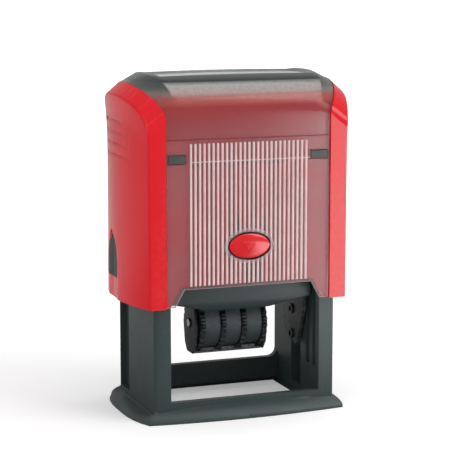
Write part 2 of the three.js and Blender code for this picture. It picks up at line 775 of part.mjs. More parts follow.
// Coil spring as one unbroken tube
function coilSpring(foot, top) {
  const length = top - foot - 2 * springWire;
  const pitch = length / (springTurns - 1);
  const rise = (turn) => {
    if (turn < 1) return (pitch * turn ** 2) / 2;
    if (turn > springTurns - 1) return length - (pitch * (springTurns - turn) ** 2) / 2;
    return pitch * (turn - 1 / 2);
  };
  const rings = Math.round(springTurns * coilSteps) + 1;
  const centre = (i) => {
    const turn = i / coilSteps;
    const angle = 2 * Math.PI * turn;
    const height = foot + springWire + rise(turn);
    return new THREE.Vector3(springRadius * Math.cos(angle), springRadius * Math.sin(angle), height);
  };
  const centres = Array.from({ length: rings }, (_, i) => centre(i));
  let least = Infinity;
  for (let i = 0; i < rings; i += 1) {
    for (let j = i + coilSteps / 2; j < rings; j += 1) {
      least = Math.min(least, centres[i].distanceTo(centres[j]));
    }
  }
  console.log(`return_spring: least gap between turns ${(least - 2 * springWire).toFixed(2)} mm`);
  const loops = centres.map((at, i) => {
    const before = centres[Math.max(0, i - 1)];
    const along = centres[Math.min(rings - 1, i + 1)].clone().sub(before).normalize();
    const outward = new THREE.Vector3(at.x, at.y, 0).normalize();
    const upward = along.clone().cross(outward).normalize();
    const across = upward.clone().cross(along).normalize();
    return Array.from({ length: coilSides }, (_, k) => {
      const turn = (2 * Math.PI * k) / coilSides;
      const point = at.clone();
      point.addScaledVector(across, springWire * Math.cos(turn));
      point.addScaledVector(upward, springWire * Math.sin(turn));
      return point.toArray();
    });
  });
  return loft(loops);
}

// Die carrier with its skirts, the rubber face and the end cheeks
function dieCarrier() {
  const half = cheekOuter;
  const slot = [plateOuter + gap, bandOuter / 2];
  const plate = block([-half, half], [-carrierHalfDepth, carrierHalfDepth], [carrierBack, carrierTop]);
  const section = [
    [carrierHalfDepth, carrierTop], [carrierHalfDepth, skirtBreak], [carrierHalfDepth - skirtSet, skirtFoot],
    [carrierHalfDepth - skirtSet - skirtThickness / 2, skirtFoot],
    [carrierHalfDepth - skirtThickness, carrierBack - gap], [carrierHalfDepth - skirtThickness, carrierTop],
  ];
  const mirrored = section.map(([y, z]) => [-y, z]).reverse();
  let body = join(plate, prismX(section, [-half, half]), prismX(mirrored, [-half, half]));
  const low = skirtFoot - overrun;
  const slope = (mitreOuter - mitreInner) / (skirtBreak - skirtFoot);
  const past = half + overrun;
  const corner = [
    [mitreInner - slope * overrun, low], [past, low],
    [past, skirtBreak], [mitreOuter, skirtBreak],
  ];
  const depth = [-carrierHalfDepth - overrun, carrierHalfDepth + overrun];
  const through = [carrierBack - overrun, carrierTop + overrun];
  body = cut(
    body,
    prismY(corner, depth),
    prismY(mirrorPoints(corner), depth),
    block([-slot[0], slot[0]], [-slot[1], slot[1]], through),
  );
  for (const side of [-1, 1]) {
    const lug = outward(side, plateOuter + gap, plateOuter + gap + skirtThickness);
    body = body.add(block(lug, [-slot[1], slot[1]], [wheelHeight + discTip - slack, carrierTop]));
  }
  return body;
}

function textDie() {
  const [length, breadth] = [plateLength / 2 - dieMargin, plateBreadth / 2 - 2 * dieMargin];
  const ground = dieBack + dieThickness / 2;
  const slot = [plateInner, bandNose + 2 * slack];
  const line = slack * 2;
  const frame = cut(
    block([-length, length], [-breadth, breadth], [dieBack, dieFace]),
    block([line - length, length - line], [line - breadth, breadth - line], [ground, dieFace + overrun]),
  );
  const raised = [ground - gap, dieFace];
  const rowShares = [[-0.76, 0.7], [-0.52, 0.5], [0.52, 0.5], [0.76, 0.7]];
  const bars = rowShares.map(([across, along]) => {
    const [y, half] = [across * breadth, along * length];
    return block([-half, half], [y - line / 2, y + line / 2], raised);
  });
  const [rimLength, rimBreadth] = slot.map((half) => half + line);
  const edge = block([-rimLength, rimLength], [-rimBreadth, rimBreadth], raised);
  return cut(
    join(frame, edge, ...bars),
    block([-slot[0], slot[0]], [-slot[1], slot[1]], [dieBack - overrun, dieFace + overrun]),
  );
}

function cheekOutline() {
  const top = carrierBack - gap;
  const pointShares = [[-1, 1], [0.58, 1], [0.58, 0.22], [0.09, 0.07], [-0.46, 0], [-0.68, 0.22], [-1, 0.6]];
  return pointShares.map(([y, z]) => [cheekFront * y, cheekFoot + (top - cheekFoot) * z]);
}

function endCheek(side) {
  let cheek = prismX(cheekOutline(), outward(side, cheekInner, cheekOuter));
  const bosses = bossDrops.map((drop) => [-bossBore, pivotHeight - drop]);
  for (const boss of bosses) {
    const bore = outward(side, cheekInner - bossHeight - overrun, cheekInner);
    cheek = cheek.add(rodX(bossRadius, outward(side, cheekInner - bossHeight, cheekInner + gap), boss, 16));
    cheek = cheek.subtract(rodX(bossBore, bore, boss, 12));
  }
  const pegSpan = outward(side, cheekOuter - gap, cheekOuter + pegReach);
  const through = outward(side, cheekInner - overrun, cheekOuter + overrun);
  return cut(
    cheek.add(rodX(pegRadius, pegSpan, [0, pivotHeight - pegDrop], 16)),
    rodX(pinRadius + gap, through, [0, pivotHeight], 16),
  );
}

function pivotPin(side) {
  const headBack = cheekInner - gap;
  const headFace = headBack - pinHeadThickness;
  return join(
    rodX(pinHead, outward(side, headFace, headBack), [0, pivotHeight]),
    rodX(pinRadius, outward(side, headBack - pinHeadThickness / 2, armOuter - gap), [0, pivotHeight]),
  );
}

// Dater: side plates, axle, bridge under the print line, bands and setting wheels
const daterFoot = wheelHeight - discTip - gap - detentThickness;

function daterPlate(side) {
  const top = carrierBack - gap;
  const pointShares = [[-0.45, 1], [0.45, 1], [0.45, 0.7], [0.7, 0.42], [0.55, 0.12], [0.3, 0],
    [-0.3, 0], [-0.55, 0.12], [-0.7, 0.42], [-0.45, 0.7]];
  const outline = pointShares.map(([y, z]) => [discTip * y, daterFoot + (top - daterFoot) * z]);
  const span = outward(side, plateInner, plateOuter);
  const through = [span[0] - overrun, span[1] + overrun];
  return cut(prismX(outline, span), rodX(axleRadius + gap, through, [0, wheelHeight], 16));
}

const insidePlates = [gap - plateInner, plateInner - gap];
const bandAxle = () => rodX(axleRadius, [-plateOuter - slack, plateOuter + slack], [0, wheelHeight], 16);

function detentBar() {
  const depth = [-detentHalfDepth, detentHalfDepth];
  return block(insidePlates, depth, [daterFoot, daterFoot + detentThickness]);
}

function bandBridge() {
  const top = dieFace - bandThickness - gap;
  return block(insidePlates, [-bridgeHalfDepth, bridgeHalfDepth], [wheelHeight + discTip + slack, top]);
}

function beltOutline(radius, nose, top, ease) {
  const [y, z] = [nose, top - ease - wheelHeight];
  const distance = Math.hypot(y, z);
  const tangent = Math.atan2(z, y) - Math.acos(radius / distance);
  const steps = 20;
  const arc = Array.from({ length: steps + 1 }, (_, i) => {
    const turn = Math.PI - tangent + (Math.PI + 2 * tangent) * (i / steps);
    return [radius * Math.cos(turn), wheelHeight + radius * Math.sin(turn)];
  });
  return [...arc, [nose, top - ease], [nose - ease, top], [ease - nose, top], [-nose, top - ease]];
}

const wheelEdges = (k) => [k * wheelPitch - halfWheels, (k + 1) * wheelPitch - halfWheels];

function dateBand(k) {
  const [left, right] = wheelEdges(k);
  const half = discThickness / 2 + gap;
  const outer = beltOutline(bandOuter, bandNose, dieFace, bandNoseEase);
  const inner = beltOutline(bandInner, bandNose - bandThickness, dieFace - bandThickness, bandNoseEase / 2);
  return prismX(outer, [left + half, right - half], [inner]);
}

function toothedDisc(centre) {
  const profileShares = [[0, 0], [0.22, 1], [0.5, 1], [0.72, 0]];
  const outline = [];
  for (let tooth = 0; tooth < toothCount; tooth += 1) {
    for (const [turnShare, riseShare] of profileShares) {
      const turn = ((tooth + turnShare) * 2 * Math.PI) / toothCount;
      const radius = discRoot + (discTip - discRoot) * riseShare;
      outline.push([radius * Math.cos(turn), wheelHeight + radius * Math.sin(turn)]);
    }
  }
  return prismX(outline, [centre - discThickness / 2, centre + discThickness / 2]);
}

function dateWheel(k) {
  const [left, right] = wheelEdges(k);
  const start = k === 0 ? left : left + discThickness / 2 + gap;
  let wheel = rodX(drumRadius, [start, right], [0, wheelHeight], 24).add(toothedDisc(right));
  if (k === 0) wheel = wheel.add(toothedDisc(left));
  const through = [left - discThickness, right + discThickness];
  return wheel.subtract(rodX(axleRadius + gap, through, [0, wheelHeight], 16));
}

// Assembly
const stamp = new THREE.Group();

function addPiece(name, solid, material) {
  const { vertProperties, triVerts } = solid.getMesh();
  const geometry = new THREE.BufferGeometry();
  geometry.setAttribute('position', new THREE.BufferAttribute(new Float32Array(vertProperties), 3));
  geometry.setIndex(new THREE.BufferAttribute(new Uint32Array(triVerts), 1));
  geometry.computeVertexNormals();
  const mesh = new THREE.Mesh(geometry, material);
  mesh.name = name;
  stamp.add(mesh);
}

addPiece('base_frame', baseFrame(), slatePlastic);
addPiece('pad_tray', padTray(), darkPlastic);
addPiece('ink_pad', inkPad(), padFoam);
addPiece('return_spring', coilSpring(deckTop + gap, springSeat - gap), steel);
addPiece('case_shell', caseShell(), redPlastic);
addPiece('front_panel', frontPanel(), clearPlastic);
addPiece('rear_panel', rearPanel(), clearPlastic);
const clipFaces = [['front', -1], ['rear', 1]];
const clipSides = [['left', -1], ['right', 1]];
for (const [faceName, face] of clipFaces) {
  for (const [sideName, side] of clipSides) {
    addPiece(`${faceName}_${sideName}_clip`, panelClip(side, face), slatePlastic);
  }
}
addPiece('top_cap', topCap(), smokePlastic);
addPiece('card_window', cardSheet(0, lensThickness, gap), smokePlastic);
addPiece('index_card', cardSheet(lensThickness + gap, cardThickness, gap), cardPaper);
addPiece('lock_button', lockButton(), redPlastic);
addPiece('button_catch', buttonCatch(), darkPlastic);
for (const [sideName, side] of clipSides) {
  addPiece(`${sideName}_drive_arm`, driveArm(side), darkPlastic);
  addPiece(`${sideName}_end_cheek`, endCheek(side), darkPlastic);
  addPiece(`${sideName}_pivot_pin`, pivotPin(side), steel);
  addPiece(`${sideName}_dater_plate`, daterPlate(side), darkPlastic);
}
addPiece('die_carrier', dieCarrier(), slatePlastic);
addPiece('text_die', textDie(), dieRubber);
addPiece('band_axle', bandAxle(), steel);
addPiece('detent_bar', detentBar(), darkPlastic);
addPiece('band_bridge', bandBridge(), darkPlastic);
const bandNames = ['day', 'month', 'year'];
for (let k = 0; k < wheelCount; k += 1) {
  addPiece(`${bandNames[k]}_band`, dateBand(k), bandRubber);
  addPiece(`${bandNames[k]}_wheel`, dateWheel(k), darkPlastic);
}

export default stamp;
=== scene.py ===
"""Looks of the self-inking date stamp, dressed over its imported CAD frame.

Sizes are in millimetres until a mesh is made, where they become metres. +Z is up and the front face looks
towards -Y, as in the CAD.
"""
from __future__ import annotations

import logging
import math
from dataclasses import dataclass
from enum import Enum
from typing import Callable, Iterable, Sequence

import bmesh
import bpy
from mathutils import Matrix, Vector


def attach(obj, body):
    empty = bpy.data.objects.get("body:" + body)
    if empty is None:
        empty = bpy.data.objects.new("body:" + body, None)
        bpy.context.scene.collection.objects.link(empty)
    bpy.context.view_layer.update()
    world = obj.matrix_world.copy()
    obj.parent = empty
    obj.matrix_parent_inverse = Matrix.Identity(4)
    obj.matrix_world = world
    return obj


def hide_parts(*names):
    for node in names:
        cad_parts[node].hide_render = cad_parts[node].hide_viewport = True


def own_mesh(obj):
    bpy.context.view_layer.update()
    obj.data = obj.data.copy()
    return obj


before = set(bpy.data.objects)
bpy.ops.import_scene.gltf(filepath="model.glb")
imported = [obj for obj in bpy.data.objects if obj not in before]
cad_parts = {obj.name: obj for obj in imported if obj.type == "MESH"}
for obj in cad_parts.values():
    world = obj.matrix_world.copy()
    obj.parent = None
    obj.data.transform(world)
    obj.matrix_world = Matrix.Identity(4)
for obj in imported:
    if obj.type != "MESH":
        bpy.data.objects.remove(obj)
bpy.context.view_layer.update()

log = logging.getLogger("date_stamp")

MM = 0.001
Point = tuple[float, float, float]
Flat = tuple[float, float]
Span = tuple[float, float]
Colour = tuple[float, float, float, float]
Piece = bpy.types.Object
Socket = bpy.types.NodeSocket
Tree = bpy.types.NodeTree

# Middle height and half size of the button's oval, which the case, the front panel and the button share.
BUTTON_HEIGHT = 58.3
BUTTON_HALF: Flat = (7.1, 4.15)


def tint(red: int, green: int, blue: int) -> Colour:
    """Returns the linear colour of an sRGB one written as 0 to 255."""
    linear = [
        c / 12.92 if c <= 0.04045 else ((c + 0.055) / 1.055) ** 2.4
        for c in (value / 255 for value in (red, green, blue))
    ]
    return (linear[0], linear[1], linear[2], 1.0)


def grey(level: float) -> Colour:
    """Returns the opaque grey of a linear level."""
    return (level, level, level, 1.0)


def veil(red: int, green: int, blue: int, opacity: float) -> Colour:
    """Returns a tint with an opacity."""
    return (*tint(red, green, blue)[:3], opacity)


def mirrored(side: int, extent: Span) -> Span:
    """Returns a span on the given side of the middle, from low to high."""
    low, high = sorted((side * extent[0], side * extent[1]))
    return (low, high)


def place_object(name: str, data: bpy.types.ID) -> Piece:
    """Returns a new object with this data, linked into the scene."""
    made = bpy.data.objects.new(name, data)
    bpy.context.scene.collection.objects.link(made)
    return made


# ---------------------------------------------------------------- shader nodes


class NodeBench:
    """Adds and links nodes in one node tree."""

    def __init__(self, tree: Tree) -> None:
        """Keeps the tree that the nodes go into."""
        self.tree = tree

    def add(self, kind: str, values: dict[str | int, object] | None = None, **settings: object) -> bpy.types.Node:
        """Adds one node.

        Args:
            kind: the node's type name.
            values: default values of its input sockets, by name or index.
            settings: properties of the node itself.

        Returns:
            The new node.
        """
        node = self.tree.nodes.new(kind)
        for key, value in settings.items():
            setattr(node, key, value)
        for key, value in (values or {}).items():
            node.inputs[key].default_value = value
        return node

    def link(self, source: Socket, target: Socket) -> None:
        """Links an output to an input."""
        self.tree.links.new(source, target)

    def math(self, operation: str, first: object, second: object = 0.0, clamp: bool = False) -> Socket:
        """Adds a math node whose operands are sockets or numbers and returns its result."""
        node = self.add("ShaderNodeMath", operation=operation, use_clamp=clamp)
        for index, value in enumerate((first, second)):
            self.feed(node.inputs[index], value)
        return node.outputs[0]

    def blend(self, factor: object, first: object, second: object) -> Socket:
        """Adds a colour mix whose operands are sockets or values and returns its result."""
        node = self.add("ShaderNodeMix", data_type="RGBA")
        for index, value in ((0, factor), (6, first), (7, second)):
            self.feed(node.inputs[index], value)
        return node.outputs[2]

    def ramp(self, source: Socket, low: float, high: float, to: Span = (0.0, 1.0)) -> Socket:
        """Maps a value's range low to high onto the range to, smoothly, and returns it."""
        limits = {1: low, 2: high, 3: to[0], 4: to[1]}
        node = self.add("ShaderNodeMapRange", limits, interpolation_type="SMOOTHSTEP")
        self.link(source, node.inputs[0])
        return node.outputs[0]

    def noise(self, scale: object, detail: float, roughness: float = 0.5) -> Socket:
        """Adds noise over the object and returns its value."""
        node = self.add("ShaderNodeTexNoise", {"Detail": detail, "Roughness": roughness})
        self.link(self.place(), node.inputs["Vector"])
        self.feed(node.inputs["Scale"], scale)
        return node.outputs["Fac"]

    def place(self) -> Socket:
        """Returns the place on the object."""
        return self.add("ShaderNodeTexCoord").outputs["Object"]

    def surface(self, fact: str) -> Socket:
        """Returns a fact of the surface, such as its normal."""
        return self.add("ShaderNodeNewGeometry").outputs[fact]

    def axis(self, vector: Socket, name: str) -> Socket:
        """Returns one of a vector's parts X, Y and Z."""
        split = self.add("ShaderNodeSeparateXYZ")
        self.link(vector, split.inputs[0])
        return split.outputs[name]

    def feed(self, socket: Socket, value: object) -> None:
        """Links a socket to an input, or sets the input's value."""
        if isinstance(value, Socket):
            self.link(value, socket)
        else:
            socket.default_value = value


Fill = Callable[[NodeBench, bpy.types.NodeOutputs, bpy.types.NodeInputs], None]


class Effects:
    """Shader node groups that several finishes share, each built once."""

    _built: dict[str, Tree] = {}

    @classmethod
    def _shared(cls, name: str, inputs: dict[str, float | Colour], outputs: Sequence[str], fill: Fill) -> Tree:
        """Returns a group, built on first use.

        Args:
            name: the group's name.
            inputs: its inputs, each with its default.
            outputs: its outputs: a number each, or a colour if named Color.
            fill: lays the nodes between the group's inputs and outputs.
        """
        if name not in cls._built:
            tree = bpy.data.node_groups.new(name, "ShaderNodeTree")
            cls._built[name] = tree
            for label, default in inputs.items():
                kind = "NodeSocketFloat" if isinstance(default, float) else "NodeSocketColor"
                tree.interface.new_socket(label, in_out="INPUT", socket_type=kind).default_value = default
            for label in outputs:
                kind = "NodeSocketColor" if label == "Color" else "NodeSocketFloat"
                tree.interface.new_socket(label, in_out="OUTPUT", socket_type=kind)
            bench = NodeBench(tree)
            fill(bench, bench.add("NodeGroupInput").outputs, bench.add("NodeGroupOutput").inputs)
        return cls._built[name]

    @classmethod
    def grain(cls) -> Tree:
        """Moulded grain: a fine height and a slow variation of shade over the surface."""

        def fill(bench: NodeBench, given: bpy.types.NodeOutputs, result: bpy.types.NodeInputs) -> None:
            """Lays the group's nodes."""
            for label, size, detail in (("Height", "Grain Size", 2.0), ("Cloud", "Cloud Size", 3.0)):
                scale = bench.math("DIVIDE", 1 / MM, given[size])
                bench.link(bench.noise(scale, detail, 0.55), result[label])

        return cls._shared("moulded grain", {"Grain Size": 0.4, "Cloud Size": 12.0}, ("Height", "Cloud"), fill)

    @classmethod
    def wear(cls) -> Tree:
        """Edge wear and painted highlight: a colour lightened along convex edges, broken up by noise; it is wear on
        the opaque parts and painted highlight on the clear collar's lips.
        """

        def fill(bench: NodeBench, given: bpy.types.NodeOutputs, result: bpy.types.NodeInputs) -> None:
            """Lays the group's nodes."""
            edge = bench.ramp(bench.surface("Pointiness"), 0.51, 0.6)
            gaps = bench.ramp(bench.noise(700.0, 3.0), 0.35, 0.65, (0.35, 1.0))
            mask = bench.math("MULTIPLY", bench.math("MULTIPLY", edge, gaps), given["Amount"], clamp=True)
            bench.link(bench.blend(mask, given["Color"], given["Worn Color"]), result["Color"])

        inputs = {"Color": grey(0.5), "Worn Color": grey(0.8), "Amount": 0.3}
        return cls._shared("edge wear and highlight", inputs, ("Color",), fill)

    @classmethod
    def dust(cls) -> Tree:
        """Fine dust on faces that look up: a colour and a roughness."""

        def fill(bench: NodeBench, given: bpy.types.NodeOutputs, result: bpy.types.NodeInputs) -> None:
            """Lays the group's nodes."""
            upward = bench.ramp(bench.axis(bench.surface("Normal"), "Z"), 0.2, 0.95)
            specks = bench.math("MULTIPLY", upward, bench.ramp(bench.noise(260.0, 5.0, 0.7), 0.4, 0.7))
            mask = bench.math("MULTIPLY", specks, given["Amount"], clamp=True)
            bench.link(bench.blend(mask, given["Color"], tint(200, 198, 192)), result["Color"])
            matt = bench.math("ADD", given["Roughness"], bench.math("MULTIPLY", mask, 0.5))
            bench.link(matt, result["Roughness"])

        inputs = {"Color": grey(0.5), "Roughness": 0.4, "Amount": 0.1}
        return cls._shared("settled dust", inputs, ("Color", "Roughness"), fill)


@dataclass(frozen=True)
class Finish:
    """A finish of one material, made by nodes.

    Attributes:
        name: the material's name.
        base: its colour.
        roughness: how matt it is.
        grain: size of the moulded grain, and cloud of the slow variation, in millimetres.
        relief: depth of the grain.
        variation: how far the cloud darkens and lightens the colour.
        wear: amount of lightening along edges, and worn_and_lit_edge its colour: wear on the opaque parts, painted
            highlight on the clear collar's lips.
        dust: amount of dust on upward faces.
        metallic: metal or not.
        specular: level of the plain reflection.
        coat: weight of the clear coat.
        sheen: weight of the sheen.
        alpha: opacity.
    """

    name: str
    base: Colour
    roughness: float = 0.4
    grain: float = 0.4
    cloud: float = 12.0
    relief: float = 0.004
    variation: float = 0.06
    wear: float = 0.25
    worn_and_lit_edge: Colour = tint(200, 200, 200)
    dust: float = 0.08
    metallic: float = 0.0
    specular: float = 0.5
    coat: float = 0.0
    sheen: float = 0.0
    alpha: float = 1.0

    def material(self) -> bpy.types.Material:
        """Returns the finish's material, built on first use."""
        known = bpy.data.materials.get(self.name)
        if known:
            return known
        made = bpy.data.materials.new(self.name)
        made.use_nodes = True
        self._dress(NodeBench(made.node_tree), made.node_tree.nodes["Principled BSDF"])
        return made

    def colour(self, bench: NodeBench, cloud: Socket) -> Socket:
        """Returns the colour before wear and dust, from the slow variation."""
        return self._varied(bench, cloud, self.base)

    def _varied(self, bench: NodeBench, cloud: Socket, colour: object) -> Socket:
        """Returns a colour that the slow variation darkens and lightens."""
        shade = bench.add("ShaderNodeHueSaturation")
        bench.feed(shade.inputs["Color"], colour)
        swing = bench.ramp(cloud, 0.3, 0.7, (1.0 - self.variation, 1.0 + self.variation))
        bench.link(swing, shade.inputs["Value"])
        return shade.outputs["Color"]

    def opacity(self, bench: NodeBench, cloud: Socket) -> Socket | float:
        """Returns the opacity, plain or varying over the surface."""
        return self.alpha

    def _dress(self, bench: NodeBench, shader: bpy.types.Node) -> None:
        """Places the shared effects with this finish's values and feeds the shader."""
        sizes = {"Grain Size": self.grain, "Cloud Size": self.cloud}
        grain = bench.add("ShaderNodeGroup", sizes, node_tree=Effects.grain())
        cloud = grain.outputs["Cloud"]
        worn_and_lit_edge = {"Worn Color": self.worn_and_lit_edge, "Amount": self.wear}
        wear_group = bench.add("ShaderNodeGroup", worn_and_lit_edge, node_tree=Effects.wear())
        bench.link(self.colour(bench, cloud), wear_group.inputs["Color"])
        dust = bench.add("ShaderNodeGroup", {"Amount": self.dust}, node_tree=Effects.dust())
        bench.link(wear_group.outputs["Color"], dust.inputs["Color"])
        rough = bench.ramp(cloud, 0.3, 0.7, (self.roughness * 0.9, self.roughness * 1.1))
        bench.link(rough, dust.inputs["Roughness"])
        bump = bench.add("ShaderNodeBump", {"Strength": 1.0, "Distance": self.relief * MM})
        bench.link(grain.outputs["Height"], bump.inputs["Height"])
        for label, value in (
            ("Base Color", dust.outputs["Color"]),
            ("Roughness", dust.outputs["Roughness"]),
            ("Normal", bump.outputs["Normal"]),
            ("Metallic", self.metallic),
            ("Specular IOR Level", self.specular),
            ("Coat Weight", self.coat),
            ("Coat Roughness", 0.08),
            ("Sheen Weight", self.sheen),
            ("Alpha", self.opacity(bench, cloud)),
        ):
            bench.feed(shader.inputs[label], value)


@dataclass(frozen=True)
class ClearPlastic(Finish):
    """See-through moulding whose tint changes with height over the object.

    Attributes:
        low, high: heights in millimetres between which the tint goes from base to upper.
        upper: the tint at the upper height, if it isn't the base.
        upper_alpha: opacity at the upper height, if it isn't alpha.
    """

    low: float = 40.0
    high: float = 94.0
    upper: Colour | None = None
    upper_alpha: float | None = None

    def _height(self, bench: NodeBench) -> Socket:
        """Returns 0 at the lower height and 1 at the upper one."""
        return bench.ramp(bench.axis(bench.place(), "Z"), self.low * MM, self.high * MM)

    def colour(self, bench: NodeBench, cloud: Socket) -> Socket:
        """Returns the tint, from base below to upper above."""
        upper = self.base if self.upper is None else self.upper
        return self._varied(bench, cloud, bench.blend(self._height(bench), self.base, upper))

    def opacity(self, bench: NodeBench, cloud: Socket) -> Socket:
        """Returns the opacity, which follows the same height."""
        upper = self.alpha if self.upper_alpha is None else self.upper_alpha
        rise = bench.math("MULTIPLY", self._height(bench), upper - self.alpha)
        speckle = bench.ramp(cloud, 0.35, 0.65, (-0.03, 0.03))
        return bench.math("ADD", bench.math("ADD", rise, self.alpha), speckle, clamp=True)


@dataclass(frozen=True)
class SmokedPlastic(Finish):
    """Smoked moulding whose tint and opacity change with height, with painted bands of highlight and shade, and
    painted shade on its upper side facets.

    Attributes:
        stops: heights in millimetres, each with its tint, whose fourth value is the opacity; the tints hold the smoke
            colour and painted bands of highlight and shadow.
        facet_shade: tint and opacity of the painted shade on the side facets.
        facet_rise: heights in millimetres between which the painted facet shade comes in.
        facet_turn: how far a face looks sideways where the painted facet shade starts and is full.
    """

    stops: tuple[tuple[float, Colour], ...] = ()
    facet_shade: Colour = (0.1, 0.1, 0.1, 0.9)
    facet_rise: Span = (106.0, 111.5)
    facet_turn: Span = (0.12, 0.6)

    def _bands(self, bench: NodeBench) -> tuple[bpy.types.Node, Socket]:
        """Returns the colour ramp over the height, and the mask of painted shade on the upper side facets."""
        above = bench.axis(bench.place(), "Z")
        low, high = self.stops[0][0], self.stops[-1][0]
        share = bench.add("ShaderNodeMapRange", {1: low * MM, 2: high * MM})
        bench.link(above, share.inputs[0])
        bands = bench.add("ShaderNodeValToRGB")
        while len(bands.color_ramp.elements) < len(self.stops):
            bands.color_ramp.elements.new(0.5)
        for element, (height, shade) in zip(bands.color_ramp.elements, self.stops):
            element.position = (height - low) / (high - low)
            element.color = shade
        bench.link(share.outputs[0], bands.inputs[0])
        facing = bench.axis(bench.surface("Normal"), "X")
        sideways = bench.ramp(bench.math("ABSOLUTE", facing), *self.facet_turn)
        rise = bench.ramp(above, self.facet_rise[0] * MM, self.facet_rise[1] * MM)
        return bands, bench.math("MULTIPLY", sideways, rise)

    def colour(self, bench: NodeBench, cloud: Socket) -> Socket:
        """Returns the tint from the height bands and the painted facet shade."""
        bands, shaded_facets = self._bands(bench)
        return self._varied(bench, cloud, bench.blend(shaded_facets, bands.outputs["Color"], self.facet_shade))

    def opacity(self, bench: NodeBench, cloud: Socket) -> Socket:
        """Returns the opacity from the height bands and the painted facet shade."""
        bands, shaded_facets = self._bands(bench)
        missing = bench.math("SUBTRACT", self.facet_shade[3], bands.outputs["Alpha"])
        return bench.math("ADD", bands.outputs["Alpha"], bench.math("MULTIPLY", missing, shaded_facets), clamp=True)


class Finishes(Enum):
    """The finishes of the stamp."""

    RED = Finish(
        "red gloss plastic", tint(228, 16, 32), 0.17, 0.5, 25.0, 0.0006, 0.03, 0.2, tint(245, 90, 88), 0.0,
        specular=0.45,
    )
    BUTTON = Finish(
        "red button plastic", tint(226, 20, 34), 0.2, 0.5, 9.0, 0.001, 0.03, 0.3, tint(250, 120, 115), 0.0, coat=0.3,
    )
    SLATE = Finish(
        "slate satin plastic", tint(53, 66, 66), 0.42, 0.35, 18.0, 0.001, 0.012, 0.1, tint(84, 98, 98), 0.0,
    )
    CARRIER = Finish(
        "carrier satin plastic", tint(48, 61, 62), 0.4, 0.3, 9.0, 0.001, 0.015, 0.1, tint(84, 98, 98), 0.0,
    )
    CLIP = Finish("clip satin plastic", tint(50, 52, 50), 0.4, 0.3, 9.0, 0.003, 0.05, 0.3, tint(96, 98, 96), 0.0)
    # A darker copy of the slate: painted shade inside the leaf windows.
    SLIP = Finish(
        "shaded slate leaf slip", tint(32, 44, 46), 0.45, 0.35, 18.0, 0.0015, 0.03, 0.2, tint(80, 90, 92), 0.0,
        specular=0.3,
    )
    DARK = Finish(
        "dark satin plastic", tint(15, 20, 22), 0.38, 0.3, 7.0, 0.002, 0.06, 0.6, tint(120, 128, 134), 0.0,
        specular=0.3,
    )
    WHEEL = Finish(
        "black wheel plastic", tint(12, 15, 16), 0.38, 0.25, 4.0, 0.002, 0.06, 0.35, tint(104, 114, 116), 0.0,
        specular=0.3,
    )
    STEEL = Finish(
        "bright drawn steel", tint(190, 192, 195), 0.22, 0.15, 5.0, 0.002, 0.05, 0.2, tint(225, 225, 228), 0.0,
        metallic=1.0,
    )
    FELT = Finish("inked felt", tint(30, 30, 40), 0.95, 0.25, 5.0, 0.12, 0.25, 0.0, tint(60, 60, 70), 0.0, sheen=0.4)
    DIE = Finish("die rubber", tint(60, 63, 66), 0.75, 0.3, 6.0, 0.01, 0.12, 0.2, tint(100, 104, 106), 0.05)
    BAND = Finish("band rubber", tint(52, 62, 64), 0.5, 0.35, 4.0, 0.006, 0.12, 0.3, tint(110, 120, 122), 0.04)
    CARD = Finish("paper card", tint(214, 215, 212), 0.85, 0.3, 14.0, 0.01, 0.03, 0.1, tint(225, 225, 222), 0.0)
    PANEL = ClearPlastic(
        "clear panel plastic", tint(160, 122, 128), 0.12, 0.5, 14.0, 0.0004, 0.03, 0.1, tint(235, 225, 225), 0.0,
        specular=0.55, alpha=0.3,
    )
    # The ribs' near-white, nearly opaque colour is painted highlight on clear ribs; the line across the panels wears
    # it too.
    RIB = ClearPlastic(
        "clear rib painted highlight", tint(246, 222, 220), 0.2, 0.4, 6.0, 0.001, 0.04, 0.1, tint(250, 240, 238), 0.0,
        alpha=0.84, low=44.0, high=90.0, upper=tint(246, 220, 218), upper_alpha=0.8,
    )
    # Near-white panel edge faces are a painted highlight along the edges, going over to a pink veil from 46 to 56 mm.
    EDGE = ClearPlastic(
        "clear panel edge highlight", tint(232, 222, 222), 0.15, 0.4, 6.0, 0.001, 0.04, 0.1, tint(250, 245, 245), 0.0,
        alpha=0.95, low=46.0, high=56.0, upper=tint(196, 150, 152), upper_alpha=0.6,
    )
    # The collar's lips, whitened by its strong edge lightening, are painted highlight.
    COLLAR = ClearPlastic(
        "clear collar plastic", tint(232, 212, 212), 0.1, 0.4, 6.0, 0.001, 0.04, 0.3, tint(255, 250, 250), 0.0,
        specular=0.8, alpha=0.3,
    )
    CAP = SmokedPlastic(
        "smoked cap plastic", tint(124, 92, 96), 0.14, 0.5, 1.1, 0.001, 0.09, 0.1, tint(220, 215, 212), 0.0,
        specular=0.7,
        # The stops paint light into the smoke: pale painted reflections from 109 to 112 mm and at the top, and a
        # painted shadow line at 112.4 to 112.75 mm. The facet tint is painted shade.
        stops=(
            (98.0, veil(136, 106, 110, 0.3)), (104.3, veil(132, 90, 92, 0.26)), (105.6, veil(190, 100, 92, 0.4)),
            (107.4, veil(192, 112, 104, 0.5)), (109.0, veil(176, 152, 148, 0.7)), (111.2, veil(160, 158, 155, 0.8)),
            (112.0, veil(128, 132, 130, 0.85)), (112.4, veil(34, 44, 42, 0.95)), (112.75, veil(18, 26, 24, 0.97)),
            (113.1, veil(50, 60, 58, 0.92)), (113.9, veil(62, 72, 70, 0.9)), (114.4, veil(130, 134, 130, 0.8)),
        ),
        facet_shade=veil(56, 69, 66, 0.88),
    )
    LENS = ClearPlastic(
        "clear card window", tint(225, 227, 225), 0.1, 0.5, 12.0, 0.0005, 0.02, 0.2, tint(240, 240, 238), 0.0,
        alpha=0.22,
    )


# ---------------------------------------------------------------- meshes


